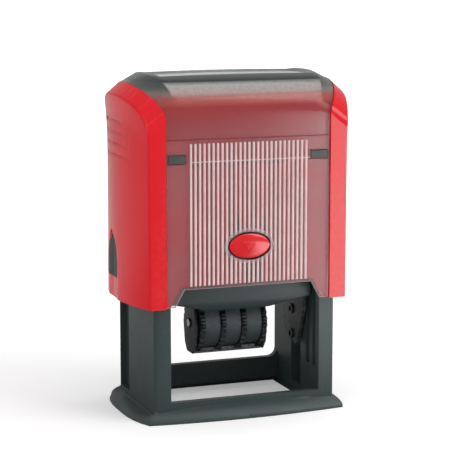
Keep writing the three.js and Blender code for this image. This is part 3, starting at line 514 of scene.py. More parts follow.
class Meshes:
    """Makes meshes from loops, grids and outlines given in millimetres, and works on them.

    Attributes:
        weld: distance in metres up to which two points of a new mesh are one.
        node_weld: the same for a mesh copied from the CAD.
        flat_angle: bend in degrees up to which faces copied from the CAD become one.
        sharp_angle: bend in degrees from which an edge is rounded.
    """

    weld = 1e-8
    node_weld = 2e-7
    flat_angle = 0.8
    sharp_angle = 35.0

    @classmethod
    def make(cls, name: str, points: Sequence[Point], faces: Sequence[Sequence[int]]) -> Piece:
        """Returns a new object whose mesh has these points, in millimetres, and faces turned outwards."""
        mesh = bpy.data.meshes.new(name)
        mesh.from_pydata([tuple(c * MM for c in point) for point in points], [], [list(face) for face in faces])
        work = bmesh.new()
        work.from_mesh(mesh)
        bmesh.ops.remove_doubles(work, verts=work.verts, dist=cls.weld)
        bmesh.ops.recalc_face_normals(work, faces=work.faces)
        work.to_mesh(mesh)
        work.free()
        return place_object(name, mesh)

    @classmethod
    def loft(cls, name: str, loops: Sequence[Sequence[Point]], ends: bool = True) -> Piece:
        """Returns loops of equal length joined into one body, or into an open sheet without its flat ends."""
        rows, count = len(loops), len(loops[0])
        faces: list[tuple[int, ...]] = []
        for row in range(rows - 1):
            for i in range(count):
                a, b = row * count + i, row * count + (i + 1) % count
                faces.append((a, b, b + count, a + count))
        if ends:
            faces.append(tuple(range(count))[::-1])
            faces.append(tuple((rows - 1) * count + i for i in range(count)))
        return cls.make(name, [point for loop in loops for point in loop], faces)

    @classmethod
    def sheet(cls, name: str, outer: Sequence[Sequence[Point]], inner: Sequence[Sequence[Point]]) -> Piece:
        """Returns the body between two grids of points, closed along its four edges."""
        rows, columns = len(outer), len(outer[0])
        points = [point for grid in (outer, inner) for row in grid for point in row]
        half = rows * columns
        faces: list[tuple[int, ...]] = []
        for row in range(rows - 1):
            for column in range(columns - 1):
                a = row * columns + column
                quad = (a, a + 1, a + columns + 1, a + columns)
                faces.append(quad)
                faces.append(tuple(index + half for index in reversed(quad)))
        for row in range(rows - 1):
            for column in (0, columns - 1):
                a = row * columns + column
                faces.append((a, a + columns, a + columns + half, a + half))
        for column in range(columns - 1):
            for row in (0, rows - 1):
                a = row * columns + column
                faces.append((a, a + 1, a + 1 + half, a + half))
        return cls.make(name, points, faces)

    @classmethod
    def prism(cls, name: str, outline: Sequence[Flat], along: str, span: Span) -> Piece:
        """Returns an outline carried along an axis.

        Args:
            name: the object's name.
            outline: points of the outline in the two other axes, in the order x, y, z.
            along: the axis, one of x, y and z.
            span: from where to where.
        """
        axis = "xyz".index(along)

        def place(flat: Flat, at: float) -> Point:
            """Returns the flat point at a place along the axis."""
            values = list(flat)
            values.insert(axis, at)
            return (values[0], values[1], values[2])

        return cls.loft(name, [[place(flat, at) for flat in outline] for at in span])

    @classmethod
    def box(cls, name: str, x: Span, y: Span, z: Span) -> Piece:
        """Returns a block, used as a cutter or joined into a shaped piece."""
        return cls.prism(name, [(x[0], y[0]), (x[1], y[0]), (x[1], y[1]), (x[0], y[1])], "z", z)

    @staticmethod
    def oval(half_a: float, half_b: float, centre: Flat = (0.0, 0.0), sides: int = 64) -> list[Flat]:
        """Returns the points of an ellipse."""
        turns = [2 * math.pi * i / sides for i in range(sides)]
        return [(centre[0] + half_a * math.cos(turn), centre[1] + half_b * math.sin(turn)) for turn in turns]

    @staticmethod
    def evaluated(piece: Piece) -> None:
        """Applies the piece's modifiers to its mesh."""
        graph = bpy.context.evaluated_depsgraph_get()
        mesh = bpy.data.meshes.new_from_object(piece.evaluated_get(graph))
        piece.modifiers.clear()
        old, piece.data = piece.data, mesh
        bpy.data.meshes.remove(old)

    @classmethod
    def carve(cls, piece: Piece, tools: Iterable[Piece], operation: str = "DIFFERENCE") -> None:
        """Cuts, joins or keeps the piece by tool bodies, which are used up."""
        tools = list(tools)
        for tool in tools:
            step = piece.modifiers.new("carve", "BOOLEAN")
            step.operation = operation
            step.solver = "MANIFOLD"
            step.object = tool
        bpy.context.view_layer.update()
        cls.evaluated(piece)
        for tool in tools:
            bpy.data.objects.remove(tool)

    @classmethod
    def round_edges(cls, piece: Piece, width: float) -> None:
        """Rounds the piece's sharp edges by a width in millimetres and smooths its faces."""
        step = piece.modifiers.new("round", "BEVEL")
        step.width = width * MM
        step.segments = 2
        step.limit_method = "ANGLE"
        step.angle_limit = math.radians(cls.sharp_angle)
        bpy.context.view_layer.update()
        cls.evaluated(piece)
        cls.smooth(piece)

    @staticmethod
    def smooth(piece: Piece, angle: float = 40.0) -> None:
        """Shades the piece smooth, except across edges sharper than the angle in degrees."""
        mesh = piece.data
        for face in mesh.polygons:
            face.use_smooth = True
        mesh.set_sharp_from_angle(angle=math.radians(angle))
        step = piece.modifiers.new("weighted", "WEIGHTED_NORMAL")
        step.keep_sharp = True
        step.weight = 60

    @classmethod
    def copy_node(cls, node: str, name: str) -> Piece:
        """Returns a copy of a CAD node's mesh as a new object, its flat faces made whole."""
        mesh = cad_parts[node].data.copy()
        mesh.name = name
        mesh.materials.clear()
        work = bmesh.new()
        work.from_mesh(mesh)
        bmesh.ops.remove_doubles(work, verts=work.verts, dist=cls.node_weld)
        limit = math.radians(cls.flat_angle)
        bmesh.ops.dissolve_limit(work, angle_limit=limit, verts=work.verts, edges=work.edges)
        work.to_mesh(mesh)
        work.free()
        return place_object(name, mesh)

    @staticmethod
    def merge(name: str, parts: Sequence[Piece]) -> Piece:
        """Returns several objects as one, with the material slots of all."""
        mesh = bpy.data.meshes.new(name)
        work = bmesh.new()
        for part in parts:
            slots = []
            for material in part.data.materials:
                if material.name not in mesh.materials:
                    mesh.materials.append(material)
                slots.append(mesh.materials.find(material.name))
            for face in part.data.polygons:
                face.material_index = slots[face.material_index]
            work.from_mesh(part.data)
        work.to_mesh(mesh)
        work.free()
        for part in parts:
            bpy.data.objects.remove(part)
        return place_object(name, mesh)


def button_oval(margin: float, share: float = 1.0) -> list[Flat]:
    """Returns the button's oval in x and z, grown by a margin and then drawn in to a share."""
    half_a, half_b = ((half + margin) * share for half in BUTTON_HALF)
    return Meshes.oval(half_a, half_b, (0.0, BUTTON_HEIGHT), 72)


def corners(piece: Piece) -> tuple[Vector, Vector]:
    """Returns the lowest and highest corner of a piece's box."""
    low, high = (Vector(pick(corner[i] for corner in piece.bound_box) for i in range(3)) for pick in (min, max))
    return low, high


def seat(piece: Piece, body: str, nodes: Sequence[str]) -> Piece:
    """Seats a finished piece on its body.

    Args:
        piece: the object, in place.
        body: the CAD body that it rides on.
        nodes: the CAD nodes that it stands for.

    Returns:
        The piece.
    """
    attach(piece, body)
    if nodes:
        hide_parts(*nodes)
    log.info("%s rides on %s, %d faces", piece.name, body, len(piece.data.polygons))
    return piece


def wear(piece: Piece, *finishes: Finishes) -> Piece:
    """Gives a piece its finishes, the first one on all faces, and returns it."""
    piece.data.materials.clear()
    for finish in finishes:
        piece.data.materials.append(finish.value.material())
    return piece


@dataclass
class KeptPiece:
    """A piece whose CAD shape is right, and which only gets rounded edges and its finish.

    Attributes:
        node: the CAD node.
        body: the body that it rides on.
        slot: the material slot; not used.
        finish: its finish.
        rounding: width of the rounded edges in millimetres.
        grow: how many times larger it is made along x, y and z, about its middle.
    """

    node: str
    body: str
    slot: str
    finish: Finishes
    rounding: float = 0.25
    grow: Point = (1.0, 1.0, 1.0)

    def build(self) -> Piece:
        """Builds the piece, seats it and returns it."""
        piece = Meshes.copy_node(self.node, f"{self.node}_finished")
        low, high = corners(piece)
        middle = (low + high) / 2
        grown = Matrix.Diagonal((*self.grow, 1.0))
        piece.data.transform(Matrix.Translation(middle) @ grown @ Matrix.Translation(-middle))
        Meshes.round_edges(piece, self.rounding)
        return seat(wear(piece, self.finish), self.body, [self.node])


# ---------------------------------------------------------------- the case's form


@dataclass(frozen=True)
class Arch:
    """One arch over the case, from its front foot to its rear foot.

    Attributes:
        spring: the height of its feet.
        crown: the height of its top.
        power: how full it is; 2 is an ellipse.
    """

    spring: float
    crown: float
    power: float

    def towards(self, other: "Arch", share: float) -> "Arch":
        """Returns the arch a share of the way to another one."""
        pairs = ((self.spring, other.spring), (self.crown, other.crown), (self.power, other.power))
        return Arch(*(here + (there - here) * share for here, there in pairs))


@dataclass(frozen=True)
class Station:
    """A line over the case at some half width.

    Attributes:
        half: the half width for each y.
        arch: the arch that the line follows.
        lean: 0 where an inset sheet stays as wide, 1 where it draws in.
        edge: whether it lies between the seam and the shoulder.
    """

    half: Callable[[float], float]
    arch: Arch
    lean: float
    edge: bool = True


@dataclass(frozen=True)
class CaseForm:
    """Main form of the case, which the panels and the cap follow."""

    half_depth: float = 23.2
    half_width: float = 34.9
    draft: float = 0.25
    foot_bulge: float = 4.8
    waist_bulge: float = 3.5
    crease_bulge: float = 5.1
    seam_half: float = 28.9
    seam_bulge: float = 7.0
    seam_swell: float = 0.8
    shoulder_inset: float = 3.6
    shoulder_bulge: float = 4.1
    bottom: float = 38.8
    foot_chamfer: float = 0.4
    ledge: float = 94.2
    notch_foot: float = 25.7
    notch_top: float = 22.5
    notch_height: float = 6.0
    waist: Arch = Arch(88.0, 98.5, 2.2)
    crease: Arch = Arch(95.8, 107.9, 2.2)
    edge_shares: tuple[float, ...] = (0.0, 0.08, 0.5, 0.9, 1.0)
    top_shares: tuple[float, ...] = (0.05, 0.2, 0.4, 0.6, 0.8, 0.98)
    seam: Arch = Arch(100.8, 111.8, 2.0)
    shoulder: Arch = Arch(100.8, 114.6, 2.7)
    top: Arch = Arch(100.8, 115.0, 2.7)

    def swell(self, y: float) -> float:
        """Returns 1 in the middle of the depth and 0 at the front and rear."""
        return max(0.0, 1.0 - (y / self.half_depth) ** 2)

    def seam_at(self, y: float) -> float:
        """Returns the half width at the seam between the bands and the clear parts."""
        return self.seam_half + self.seam_bulge * self.swell(y) ** self.seam_swell

    def shoulder_at(self, y: float) -> float:
        """Returns the half width at the cap's shoulder."""
        return self.seam_half - self.shoulder_inset + self.shoulder_bulge * self.swell(y)

    def height(self, y: float, arch: Arch, offset: float = 0.0) -> float:
        """Returns the height of an arch over y, set in by an offset."""
        reach = min(1.0, abs(y) / (self.half_depth - offset))
        return arch.spring + (arch.crown - offset - arch.spring) * (1.0 - reach**arch.power) ** (1.0 / arch.power)

    def stations(self, fine: bool) -> list[Station]:
        """Returns the lines from the seam to the middle of the top."""
        lines = [
            Station(
                lambda y, share=share: self.seam_at(y) + (self.shoulder_at(y) - self.seam_at(y)) * share,
                self.seam.towards(self.shoulder, share), share,
            )
            for share in (self.edge_shares if fine else self.edge_shares[::4])
        ]
        for share in self.top_shares if fine else self.top_shares[-1:]:
            arch = self.shoulder.towards(self.top, 1.0 - (1.0 - share) ** 2)
            lines.append(Station(lambda y, share=share: self.shoulder_at(y) * (1.0 - share), arch, 1.0 - share, False))
        return lines

    def arch_points(self, arch: Arch, offset: float, rows: int) -> list[Flat]:
        """Returns points of one arch from its front foot to its rear foot."""
        depth = self.half_depth - offset
        points = []
        for row in range(rows + 1):
            c, s = math.cos(math.pi * row / rows), max(0.0, math.sin(math.pi * row / rows))
            y = -math.copysign(depth * abs(c) ** (2 / arch.power), c)
            points.append((y, arch.spring + (arch.crown - offset - arch.spring) * s ** (2 / arch.power)))
        return points

    def grid(self, offset: float, clear: float, skirt: float, drawn: float = 0.0) -> list[list[Point]]:
        """Returns the grid of an arched sheet over the clear parts' width.

        Args:
            offset: how far it is set in from the outside.
            clear: clearance that holds its sides in.
            skirt: height down to which both feet go straight.
            drawn: how far its side edges are drawn in at the front and rear.
        """
        rows = 72
        lines = self.stations(True)
        spread = self.half_depth / (self.half_depth - offset)
        arches = [self.arch_points(line.arch, offset, rows) for line in lines]
        arches = [[(arch[0][0], skirt), *arch, (arch[-1][0], skirt)] for arch in arches]
        result = []
        for row in range(rows + 3):
            left: list[Point] = []
            for line, arch in zip(lines, arches):
                y, z = arch[row]
                y -= drawn * max(0.0, 1.0 - line.lean) ** 1.5 * y / self.half_depth if line.edge else 0.0
                left.append((line.lean * offset / 2 + (1.0 - line.lean) * clear - line.half(y * spread), y, z))
            result.append([*left, *[(-x, y, z) for x, y, z in reversed(left)]])
        return result

    def corner(self, room: float, bulge: float, radius: float) -> float:
        """Returns how far a rounded upright corner draws the cheek in.

        Args:
            room: distance from the front or rear face.
            bulge: the cheek's bulge at that level, which sets its slope at the corner.
            radius: the corner's radius.
        """
        slope = 2 * bulge / self.half_depth
        lean = math.hypot(1.0, slope)
        if room >= radius * (1.0 - slope / lean):
            return 0.0
        return slope * room - radius * (slope - lean) - math.sqrt(radius**2 - (radius - room) ** 2)

    def side(self, y: float, offset: float, side_offset: float, foot: float, radius: float) -> list[Flat]:
        """Returns the cheek's points in one section, from its foot over the waist up to the crease."""
        swell, room = self.swell(y), self.half_depth - offset - abs(y)

        def at(lean: float, bulge: float, z: float) -> Flat:
            """Returns the cheek's point at a height."""
            drawn = self.corner(room, bulge, radius) if radius else 0.0
            return (self.half_width - side_offset + lean + bulge * swell - drawn, z)

        low = at(-self.draft, self.foot_bulge, foot)
        middle = at(0.0, self.waist_bulge, self.height(y, self.waist, offset))
        high = at(self.draft, self.crease_bulge, self.height(y, self.crease, offset))
        cut = self.foot_chamfer
        points = [(low[0] - cut, foot), (low[0] - 0.3 * cut, foot + 0.25 * cut)] if radius else []
        for start, end, steps, power in (((low[0], foot + cut), middle, 9, 1.0), (middle, high, 4, 1.5)):
            for i in range(steps):
                share = i / steps
                points.append((start[0] + (end[0] - start[0]) * share**power, start[1] + (end[1] - start[1]) * share))
        return [*points, high]

    def crease_arc(self, y: float, before: Flat, corner: Flat, after: Flat, radius: float) -> list[Flat]:
        """Returns the rounded crease in one section, longer down the cheek where the crease is steep."""
        near, step, steepest = abs(y), 0.05, 3.0
        rise = self.height(max(0.0, near - step), self.crease) - self.height(near + step, self.crease)
        longer = min(steepest, math.hypot(1.0, rise / (2 * step)))
        ends = []
        for towards, reach in ((before, radius * longer), (after, radius)):
            length = math.dist(corner, towards)
            share = min(0.9, reach / length)
            ends.append((corner[0] + (towards[0] - corner[0]) * share, corner[1] + (towards[1] - corner[1]) * share))
        (x0, z0), (x2, z2) = ends
        arc = []
        for i in range(6):
            t = i / 5
            a, b, c = (1 - t) ** 2, 2 * t * (1 - t), t**2
            arc.append((a * x0 + b * corner[0] + c * x2, a * z0 + b * corner[1] + c * z2))
        return arc

    def block(
        self, name: str, offset: float, side_offset: float, foot: float, rows: int, radius: float = 0.0
    ) -> Piece:
        """Returns the arched block over the case's whole width, as sections one behind the other."""
        depth = self.half_depth - offset
        spread = self.half_depth / depth
        loops = []
        lines = self.stations(False)
        for row in range(rows + 1):
            c = math.cos(math.pi * row / rows)
            y = -math.copysign(depth * abs(c) ** (2 / self.crease.power), c)
            right = self.side(y, offset, side_offset, foot, radius)
            band = [(line.half(y * spread) - offset / 2, self.height(y, line.arch, offset)) for line in lines]
            if radius:
                right[-1:] = self.crease_arc(y, right[-2], right[-1], band[0], radius)
            right += band
            section = right + [(-x, z) for x, z in reversed(right)]
            loops.append([(x, y, z) for x, z in section])
        return Meshes.loft(name, loops)


# ---------------------------------------------------------------- sub-assemblies


@dataclass
class Case:
    """Red case: two bulged cheeks with grip grooves and a leaf window each, and the bands round the clear parts."""

    form: CaseForm = CaseForm()
    side_wall: float = 2.2
    column_half_depth: float = 20.0
    gap: float = 0.3
    seat_face: float = 21.3
    cap_thickness: float = 1.6
    crease_rounding: float = 0.7
    groove_top: float = 99.0
    groove_pitch: float = 3.75
    groove_fronts: tuple[float, ...] = (-6.5, -9.5, -11.0, -12.5)
    groove_rear: float = 18.5
    groove_depth: float = 0.75
    groove_fade: float = 0.8
    groove_skim: float = 0.03
    # Each corner's distance outside the face, share of the groove's depth, and height.
    groove_section: tuple[Point, ...] = (
        (1.0, 0.0, 0.3), (0.0, 1.0, 0.15), (0.0, 1.0, -0.3), (0.0, 0.4, -0.7), (0.02, 0.0, -1.3), (1.0, 0.0, -1.5),
    )
    leaf_tip: float = 6.1
    leaf_front: float = 5.0
    leaf_rear: float = 9.9
    # How full the front and rear edges are.
    leaf_powers: Flat = (4.0, 1.8)
    leaf_foot: float = 45.7
    leaf_height: float = 15.2
    leaf_bevel: float = 2.4
    bevel_front: float = 1.5
    recess: float = 0.8
    # Where the recess has run out at the rear and over what length, as shares of leaf_rear.
    recess_fade: Flat = (0.45, 0.5)
    # Outer and inner face of the recess's cutter and of the slip, from the recess's floor.
    recess_layer: Span = (2.0, 0.0)
    slip_layer: Span = (-0.1, -1.3)
    slip_gap: float = 0.02
    seat_radius: float = 8.0
    seat_foot: float = 104.0
    post_radius: float = 4.2
    post_foot: float = 92.0
    lug_x: Span = (27.9, 29.7)
    lug_y: Span = (-3.5, 3.5)
    lug_foot: float = 104.8
    rail_x: Span = (30.5, 34.9)
    rail_y: Span = (9.0, 18.0)
    rail_z: tuple[Span, Span] = ((39.7, 44.2), (63.8, 91.0))
    wall: Span = (20.0, 24.2)
    # How much wider at the foot, wider at the top and taller the notches are than the panels'.
    notch_room: Point = (1.3, 0.9, 0.8)
    button_opening: Flat = (8.6, 5.65)
    # Openings and beds in the front wall, each with its x, y and z.
    wall_boxes: tuple[tuple[str, Span, Span, Span], ...] = (
        ("ledge_gap", (-28.6, 28.6), (-21.4, -20.6), (93.8, 94.3)),
        ("left_clip_bed", (-28.4, -21.5), (-21.4, -20.6), (85.9, 89.5)),
        ("right_clip_bed", (21.5, 28.4), (-21.4, -20.6), (85.9, 89.5)),
        ("left_slot", (-4.3, -2.4), (-24.2, -20.0), (61.0, 68.6)),
        ("right_slot", (4.9, 6.6), (-24.2, -20.0), (61.0, 68.6)),
        ("lower_slot", (-1.7, 5.5), (-24.2, -20.0), (45.0, 52.3)),
        ("top_groove", (-20.2, 14.0), (-21.4, -20.2), (85.2, 86.4)),
    )

    def build(self) -> None:
        """Builds the case with its slips and seats it."""
        shell = self.form.block("case_shell_finished", 0.0, 0.0, self.form.bottom, 96, self.crease_rounding)
        inside = self.column_half_depth + self.gap
        cavity = self.form.block("cavity", self.form.half_depth - inside, self.side_wall, self.form.bottom - 1, 40)
        Meshes.carve(shell, [cavity])
        Meshes.carve(shell, self._inner_parts(), "UNION")
        Meshes.carve(shell, [self._seat(), *self._side_cuts(-1), *self._side_cuts(1), *self._wall_cuts()])
        Meshes.smooth(shell, 20.0)
        self._leaf_fills()
        seat(wear(shell, Finishes.RED), "case", ["case_shell"])

    def _inner_parts(self) -> list[Piece]:
        """Returns the spring seat, its post, the arms' lugs and the guide rails."""
        roof = self.form.top.crown - self.cap_thickness - self.gap
        parts = []
        for name, radius, foot, sides in (
            ("spring_seat", self.seat_radius, self.seat_foot, 48),
            ("spring_post", self.post_radius, self.post_foot, 40),
        ):
            parts.append(Meshes.prism(name, Meshes.oval(radius, radius, sides=sides), "z", (foot, roof)))
        for side in (-1, 1):
            parts.append(Meshes.box("arm_lug", mirrored(side, self.lug_x), self.lug_y, (self.lug_foot, roof - 1.0)))
            for rise in self.rail_z:
                parts.append(Meshes.box("guide_rail", mirrored(side, self.rail_x), self.rail_y, rise))
        return parts

    def _seat(self) -> Piece:
        """Returns the cutter that lets the clear parts into the case."""
        outer = self.form.grid(-2 * self.cap_thickness, 0.0, self.form.bottom - 1)
        inner = self.form.grid(self.form.half_depth - self.seat_face, 0.0, self.form.bottom - 1)
        return Meshes.sheet("seat", outer, inner)

    def _leaf(self) -> list[Flat]:
        """Returns the outline of the pointed leaf."""
        steps = 24
        shares = [i / steps for i in range(steps + 1)]
        heights = [self.leaf_foot + self.leaf_height * share for share in shares]
        front, rear = (
            [(self.leaf_tip + reach * (1 - share**power), z) for share, z in zip(shares, heights)]
            for reach, power in zip((-self.leaf_front, self.leaf_rear), self.leaf_powers)
        )
        return [*rear, *reversed(front[:-1])]

    def _side_cuts(self, side: int) -> list[Piece]:
        """Returns the cutters of one cheek's grooves, leaf recess and leaf window."""
        inside = self.form.half_width - self.side_wall - 1
        outside = self.form.half_width + self.form.foot_bulge + 1
        return [
            *(
                self._groove(side, self.groove_top - self.groove_pitch * i, front)
                for i, front in enumerate(self.groove_fronts)
            ),
            Meshes.prism("leaf_window", self._leaf(), "x", mirrored(side, (inside, outside))),
            self._leaf_block("leaf_recess", side, self.leaf_bevel, self.recess_layer, self.form.bottom - 1),
        ]

    def _leaf_sunk(self, y: float) -> float:
        """Returns how deep the recess round the leaf lies: bevelled in front, running out at the rear."""
        bevel = self.bevel_front * self.leaf_bevel
        rise = (y - (self.leaf_tip - self.leaf_front - bevel)) / bevel
        end, length = self.recess_fade
        fade = (self.leaf_tip + end * self.leaf_rear - y) / (length * self.leaf_rear)
        return self.recess * max(0.0, min(1.0, rise, fade))

    def _leaf_block(self, name: str, side: int, margin: float, layer: Span, foot: float | None) -> Piece:
        """Returns a body over the leaf's outline that follows the recess.

        Args:
            name: the object's name.
            side: -1 for the left cheek and 1 for the right one.
            margin: how much wider than the leaf it is.
            layer: how far outside and inside the recess's floor it reaches, outwards positive.
            foot: its foot, or None for the leaf's own.
        """
        steps, short = 36, 0.004
        ends = (self.leaf_tip - self.leaf_front - self.bevel_front * margin, self.leaf_tip + self.leaf_rear + margin)
        low = self.leaf_foot - margin / 2 if foot is None else foot
        loops = []
        for i in range(steps + 1):
            y = ends[0] + (ends[1] - ends[0]) * (short + (1 - 2 * short) * i / steps)
            part = 0 if y < self.leaf_tip else 1
            share = (1.0 - (y - self.leaf_tip) / (ends[part] - self.leaf_tip)) ** (1.0 / self.leaf_powers[part])
            high = self.leaf_foot - margin / 2 + (self.leaf_height + margin) * share
            section = []
            for z, out in ((low, 1), (low, 0), (high, 0), (high, 1)):
                section.append((side * (self.face_at(y, z) - self._leaf_sunk(y) + layer[1 - out]), y, z))
            loops.append(section)
        return Meshes.loft(name, loops)

    def face_at(self, y: float, z: float) -> float:
        """Returns how far out the cheek's face lies at a place, by the form that it has below the waist."""
        share = (z - self.form.bottom) / (self.form.height(y, self.form.waist) - self.form.bottom)
        bulge = self.form.foot_bulge + (self.form.waist_bulge - self.form.foot_bulge) * share
        return self.form.half_width + self.form.draft * (share - 1.0) + bulge * self.form.swell(y)

    def _leaf_fills(self) -> None:
        """Builds the slips that show in the leaf windows, a darker slate as painted shade of the inside."""
        for side, name in ((-1, "left_leaf_slip"), (1, "right_leaf_slip")):
            slip = self._leaf_block(name, side, -self.slip_gap, self.slip_layer, None)
            Meshes.smooth(slip, 30.0)
            seat(wear(slip, Finishes.SLIP), "case", [])

    def _groove(self, side: int, top: float, front: float) -> Piece:
        """Returns the cutter of one grip groove: a thin undercut line that fades out at both ends.

        Args:
            side: -1 for the left cheek and 1 for the right one.
            top: the groove's height.
            front: where its front end lies in y.
        """
        steps = 28
        middle, reach = (front + self.groove_rear) / 2, (self.groove_rear - front) / 2
        loops = []
        for i in range(steps + 1):
            along = 2 * i / steps - 1
            y = middle + reach * along
            deep = self.groove_depth * max(0.0, 1.0 - along**2) ** self.groove_fade - self.groove_skim
            face = self.face_at(y, top)
            loops.append([(side * (face + out - deep * share), y, top + z) for out, share, z in self.groove_section])
        return Meshes.loft("groove", loops)

    def _wall_cuts(self) -> list[Piece]:
        """Returns the cutters of the notches, the button's opening and the slots seen through the front panel."""
        form = self.form
        wider_foot, wider_top, taller = self.notch_room
        low, high = form.bottom - 1, form.bottom + form.notch_height + taller
        foot = form.notch_foot + (form.notch_foot - form.notch_top) / form.notch_height + wider_foot
        top = form.notch_top + wider_top
        notch = [(-foot, low), (foot, low), (top, high), (-top, high)]
        opening = Meshes.oval(*self.button_opening, (0.0, BUTTON_HEIGHT))
        return [
            Meshes.prism("front_notch", notch, "y", mirrored(-1, self.wall)),
            Meshes.prism("rear_notch", notch, "y", self.wall),
            Meshes.prism("button_opening", opening, "y", mirrored(-1, self.wall)),
            *(Meshes.box(*box) for box in self.wall_boxes),
        ]


@dataclass
class ClearPanels:
    """Clear front and rear panels with upright ribs and a painted highlight line across them, and the clips in their
    corners; the ribs' pale colour is painted highlight too.
    """

    form: CaseForm = CaseForm()
    gap: float = 0.3
    back: float = 21.6
    face: float = 22.6
    rounding: float = 0.24
    # A face that looks less than this towards y is an edge.
    edge_tilt: float = 0.95
    rib_height: float = 0.35
    rib_count: int = 27
    rib_pitch: float = 1.56
    rib_width: float = 0.8
    rib_foot: float = 45.8
    rib_top: float = 92.7
    rib_end: float = 0.3
    line_height: float = 86.75
    line_lift: float = 0.07
    line_over: float = 1.0
    # Corners of the painted highlight line, as distance out and height.
    line_section: tuple[Flat, ...] = ((0.0, 0.16), (0.3, 0.1), (0.3, -0.1), (0.0, -0.16))
    slot_x: Span = (21.8, 28.2)
    slot_z: Span = (86.1, 89.3)
    button_room: float = 0.5
    collar_width: float = 1.3
    collar_proud: float = 0.35
    # Corners between the collar's feet, as distance from the gap and from the crest.
    collar_profile: tuple[Flat, ...] = (
        (0.0, -0.15), (0.12, 0.0), (0.32, 0.0), (0.5, -0.16), (0.68, -0.06), (0.88, -0.1), (1.08, -0.26), (1.22, -0.5),
    )

    def build(self) -> None:
        """Builds both panels and the four clips."""
        self._panel(-1, "front_panel")
        self._panel(1, "rear_panel")
        for face in ("front", "rear"):
            for side in ("left", "right"):
                KeptPiece(f"{face}_{side}_clip", "case", "slate_plastic", Finishes.CLIP, 0.15, (1.2, 1.0, 1.5)).build()

    def _outline(self) -> list[Flat]:
        """Returns the panel's outline in x and z, with its notch at the foot."""
        half, foot, top = self.form.seam_half - self.gap, self.form.bottom + self.gap, self.form.ledge - self.gap
        notch_high = self.form.bottom + self.form.notch_height
        right = [(self.form.notch_top, notch_high), (self.form.notch_foot, foot), (half, foot), (half, top)]
        return [*right, *[(-x, z) for x, z in reversed(right)]]

    def _panel(self, side: int, node: str) -> None:
        """Builds one panel, side -1 in front and 1 behind."""
        plate = Meshes.prism("plate", self._outline(), "y", mirrored(side, (self.back, self.face)))
        through = mirrored(side, (self.back - 1, self.face + 1))
        cuts = [Meshes.box("slot", mirrored(half, self.slot_x), through, self.slot_z) for half in (-1, 1)]
        if side < 0:
            cuts.append(Meshes.prism("opening", button_oval(self.button_room), "y", through))
        Meshes.carve(plate, cuts)
        Meshes.round_edges(plate, self.rounding)
        plate.modifiers.clear()
        # Faces turned away from y wear the painted edge highlight.
        wear(plate, Finishes.PANEL, Finishes.EDGE, Finishes.DARK)
        # Edge faces at the button's opening wear the dark finish as painted shadow in the gap round the button.
        for face in plate.data.polygons:
            if abs(face.normal.y) <= self.edge_tilt:
                face.material_index = 2 if self._from_button(face, self.button_room + 0.1) < 1.0 else 1
        parts = [plate, self._ribs(side)]
        if side < 0:
            parts.append(self._collar())
        panel = Meshes.merge(f"{node}_finished", parts)
        Meshes.smooth(panel)
        seat(panel, "case", [node])

    @staticmethod
    def _from_button(face: bpy.types.MeshPolygon, margin: float) -> float:
        """Returns how far out a face lies from the button's middle: 1 on its oval grown by a margin."""
        x, z = face.center.x / MM, face.center.z / MM - BUTTON_HEIGHT
        return math.hypot(x / (BUTTON_HALF[0] + margin), z / (BUTTON_HALF[1] + margin))

    def _rib_spans(self, side: int, x: float) -> list[Span]:
        """Returns the heights between which one rib runs: in front, the collar breaks it."""
        across, above = (half + self.button_room + 0.2 for half in BUTTON_HALF)
        if side > 0 or abs(x) >= across:
            return [(self.rib_foot, self.rib_top)]
        reach = above * math.sqrt(1 - (x / across) ** 2)
        return [(self.rib_foot, BUTTON_HEIGHT - reach), (BUTTON_HEIGHT + reach, self.rib_top)]

    def _ribs(self, side: int) -> Piece:
        """Returns the rounded rib faces of one panel, and the painted highlight line across them, as open sheets; both
        wear the painted rib highlight.
        """
        points: list[Point] = []
        faces: list[tuple[int, ...]] = []
        steps = 6
        width = steps + 1
        for i in range(self.rib_count):
            x = (i - (self.rib_count - 1) / 2) * self.rib_pitch
            for low, high in self._rib_spans(side, x):
                start = len(points)
                for z in (low, low + self.rib_end, high - self.rib_end, high):
                    lift = 0.0 if z in (low, high) else self.rib_height
                    for turn in (math.pi * k / steps for k in range(width)):
                        across = x - math.cos(turn) * self.rib_width / 2
                        points.append((across, side * (self.face + lift * math.sin(turn)), z))
                for row in range(3):
                    for a in range(start + row * width, start + row * width + steps):
                        faces.append((a, a + 1, a + width + 1, a + width))
        half = (self.rib_count - 1) / 2 * self.rib_pitch
        start, count = len(points), len(self.line_section)
        for x in (-half, half + self.line_over):
            for out, z in self.line_section:
                points.append((x, side * (self.face + self.line_lift + out), self.line_height + z))
        faces += [(a, a + 1, a + count + 1, a + count) for a in range(start, start + count - 1)]
        ribs = Meshes.make("ribs", points, faces)
        if ribs.data.polygons[0].normal.y * side <= 0:
            ribs.data.flip_normals()
        return wear(ribs, Finishes.RIB)

    def _collar(self) -> Piece:
        """Returns the clear raised collar round the button, with its two ripples, its inner face dark as painted
        shadow in the gap.
        """
        crest = self.face + self.rib_height + self.collar_proud
        between = [(out, crest + rise) for out, rise in self.collar_profile]
        profile = [(0.0, self.face), *between, (self.collar_width, self.face)]
        loops = [[(x, -y, z) for x, z in button_oval(self.button_room + out)] for out, y in profile]
        collar = wear(Meshes.loft("collar", loops, ends=False), Finishes.COLLAR, Finishes.DARK)
        # The collar's inner faces at the opening wear the dark finish as painted shadow in the gap.
        for face in collar.data.polygons:
            face.material_index = 1 if self._from_button(face, self.button_room) < 1.005 else 0
        return collar


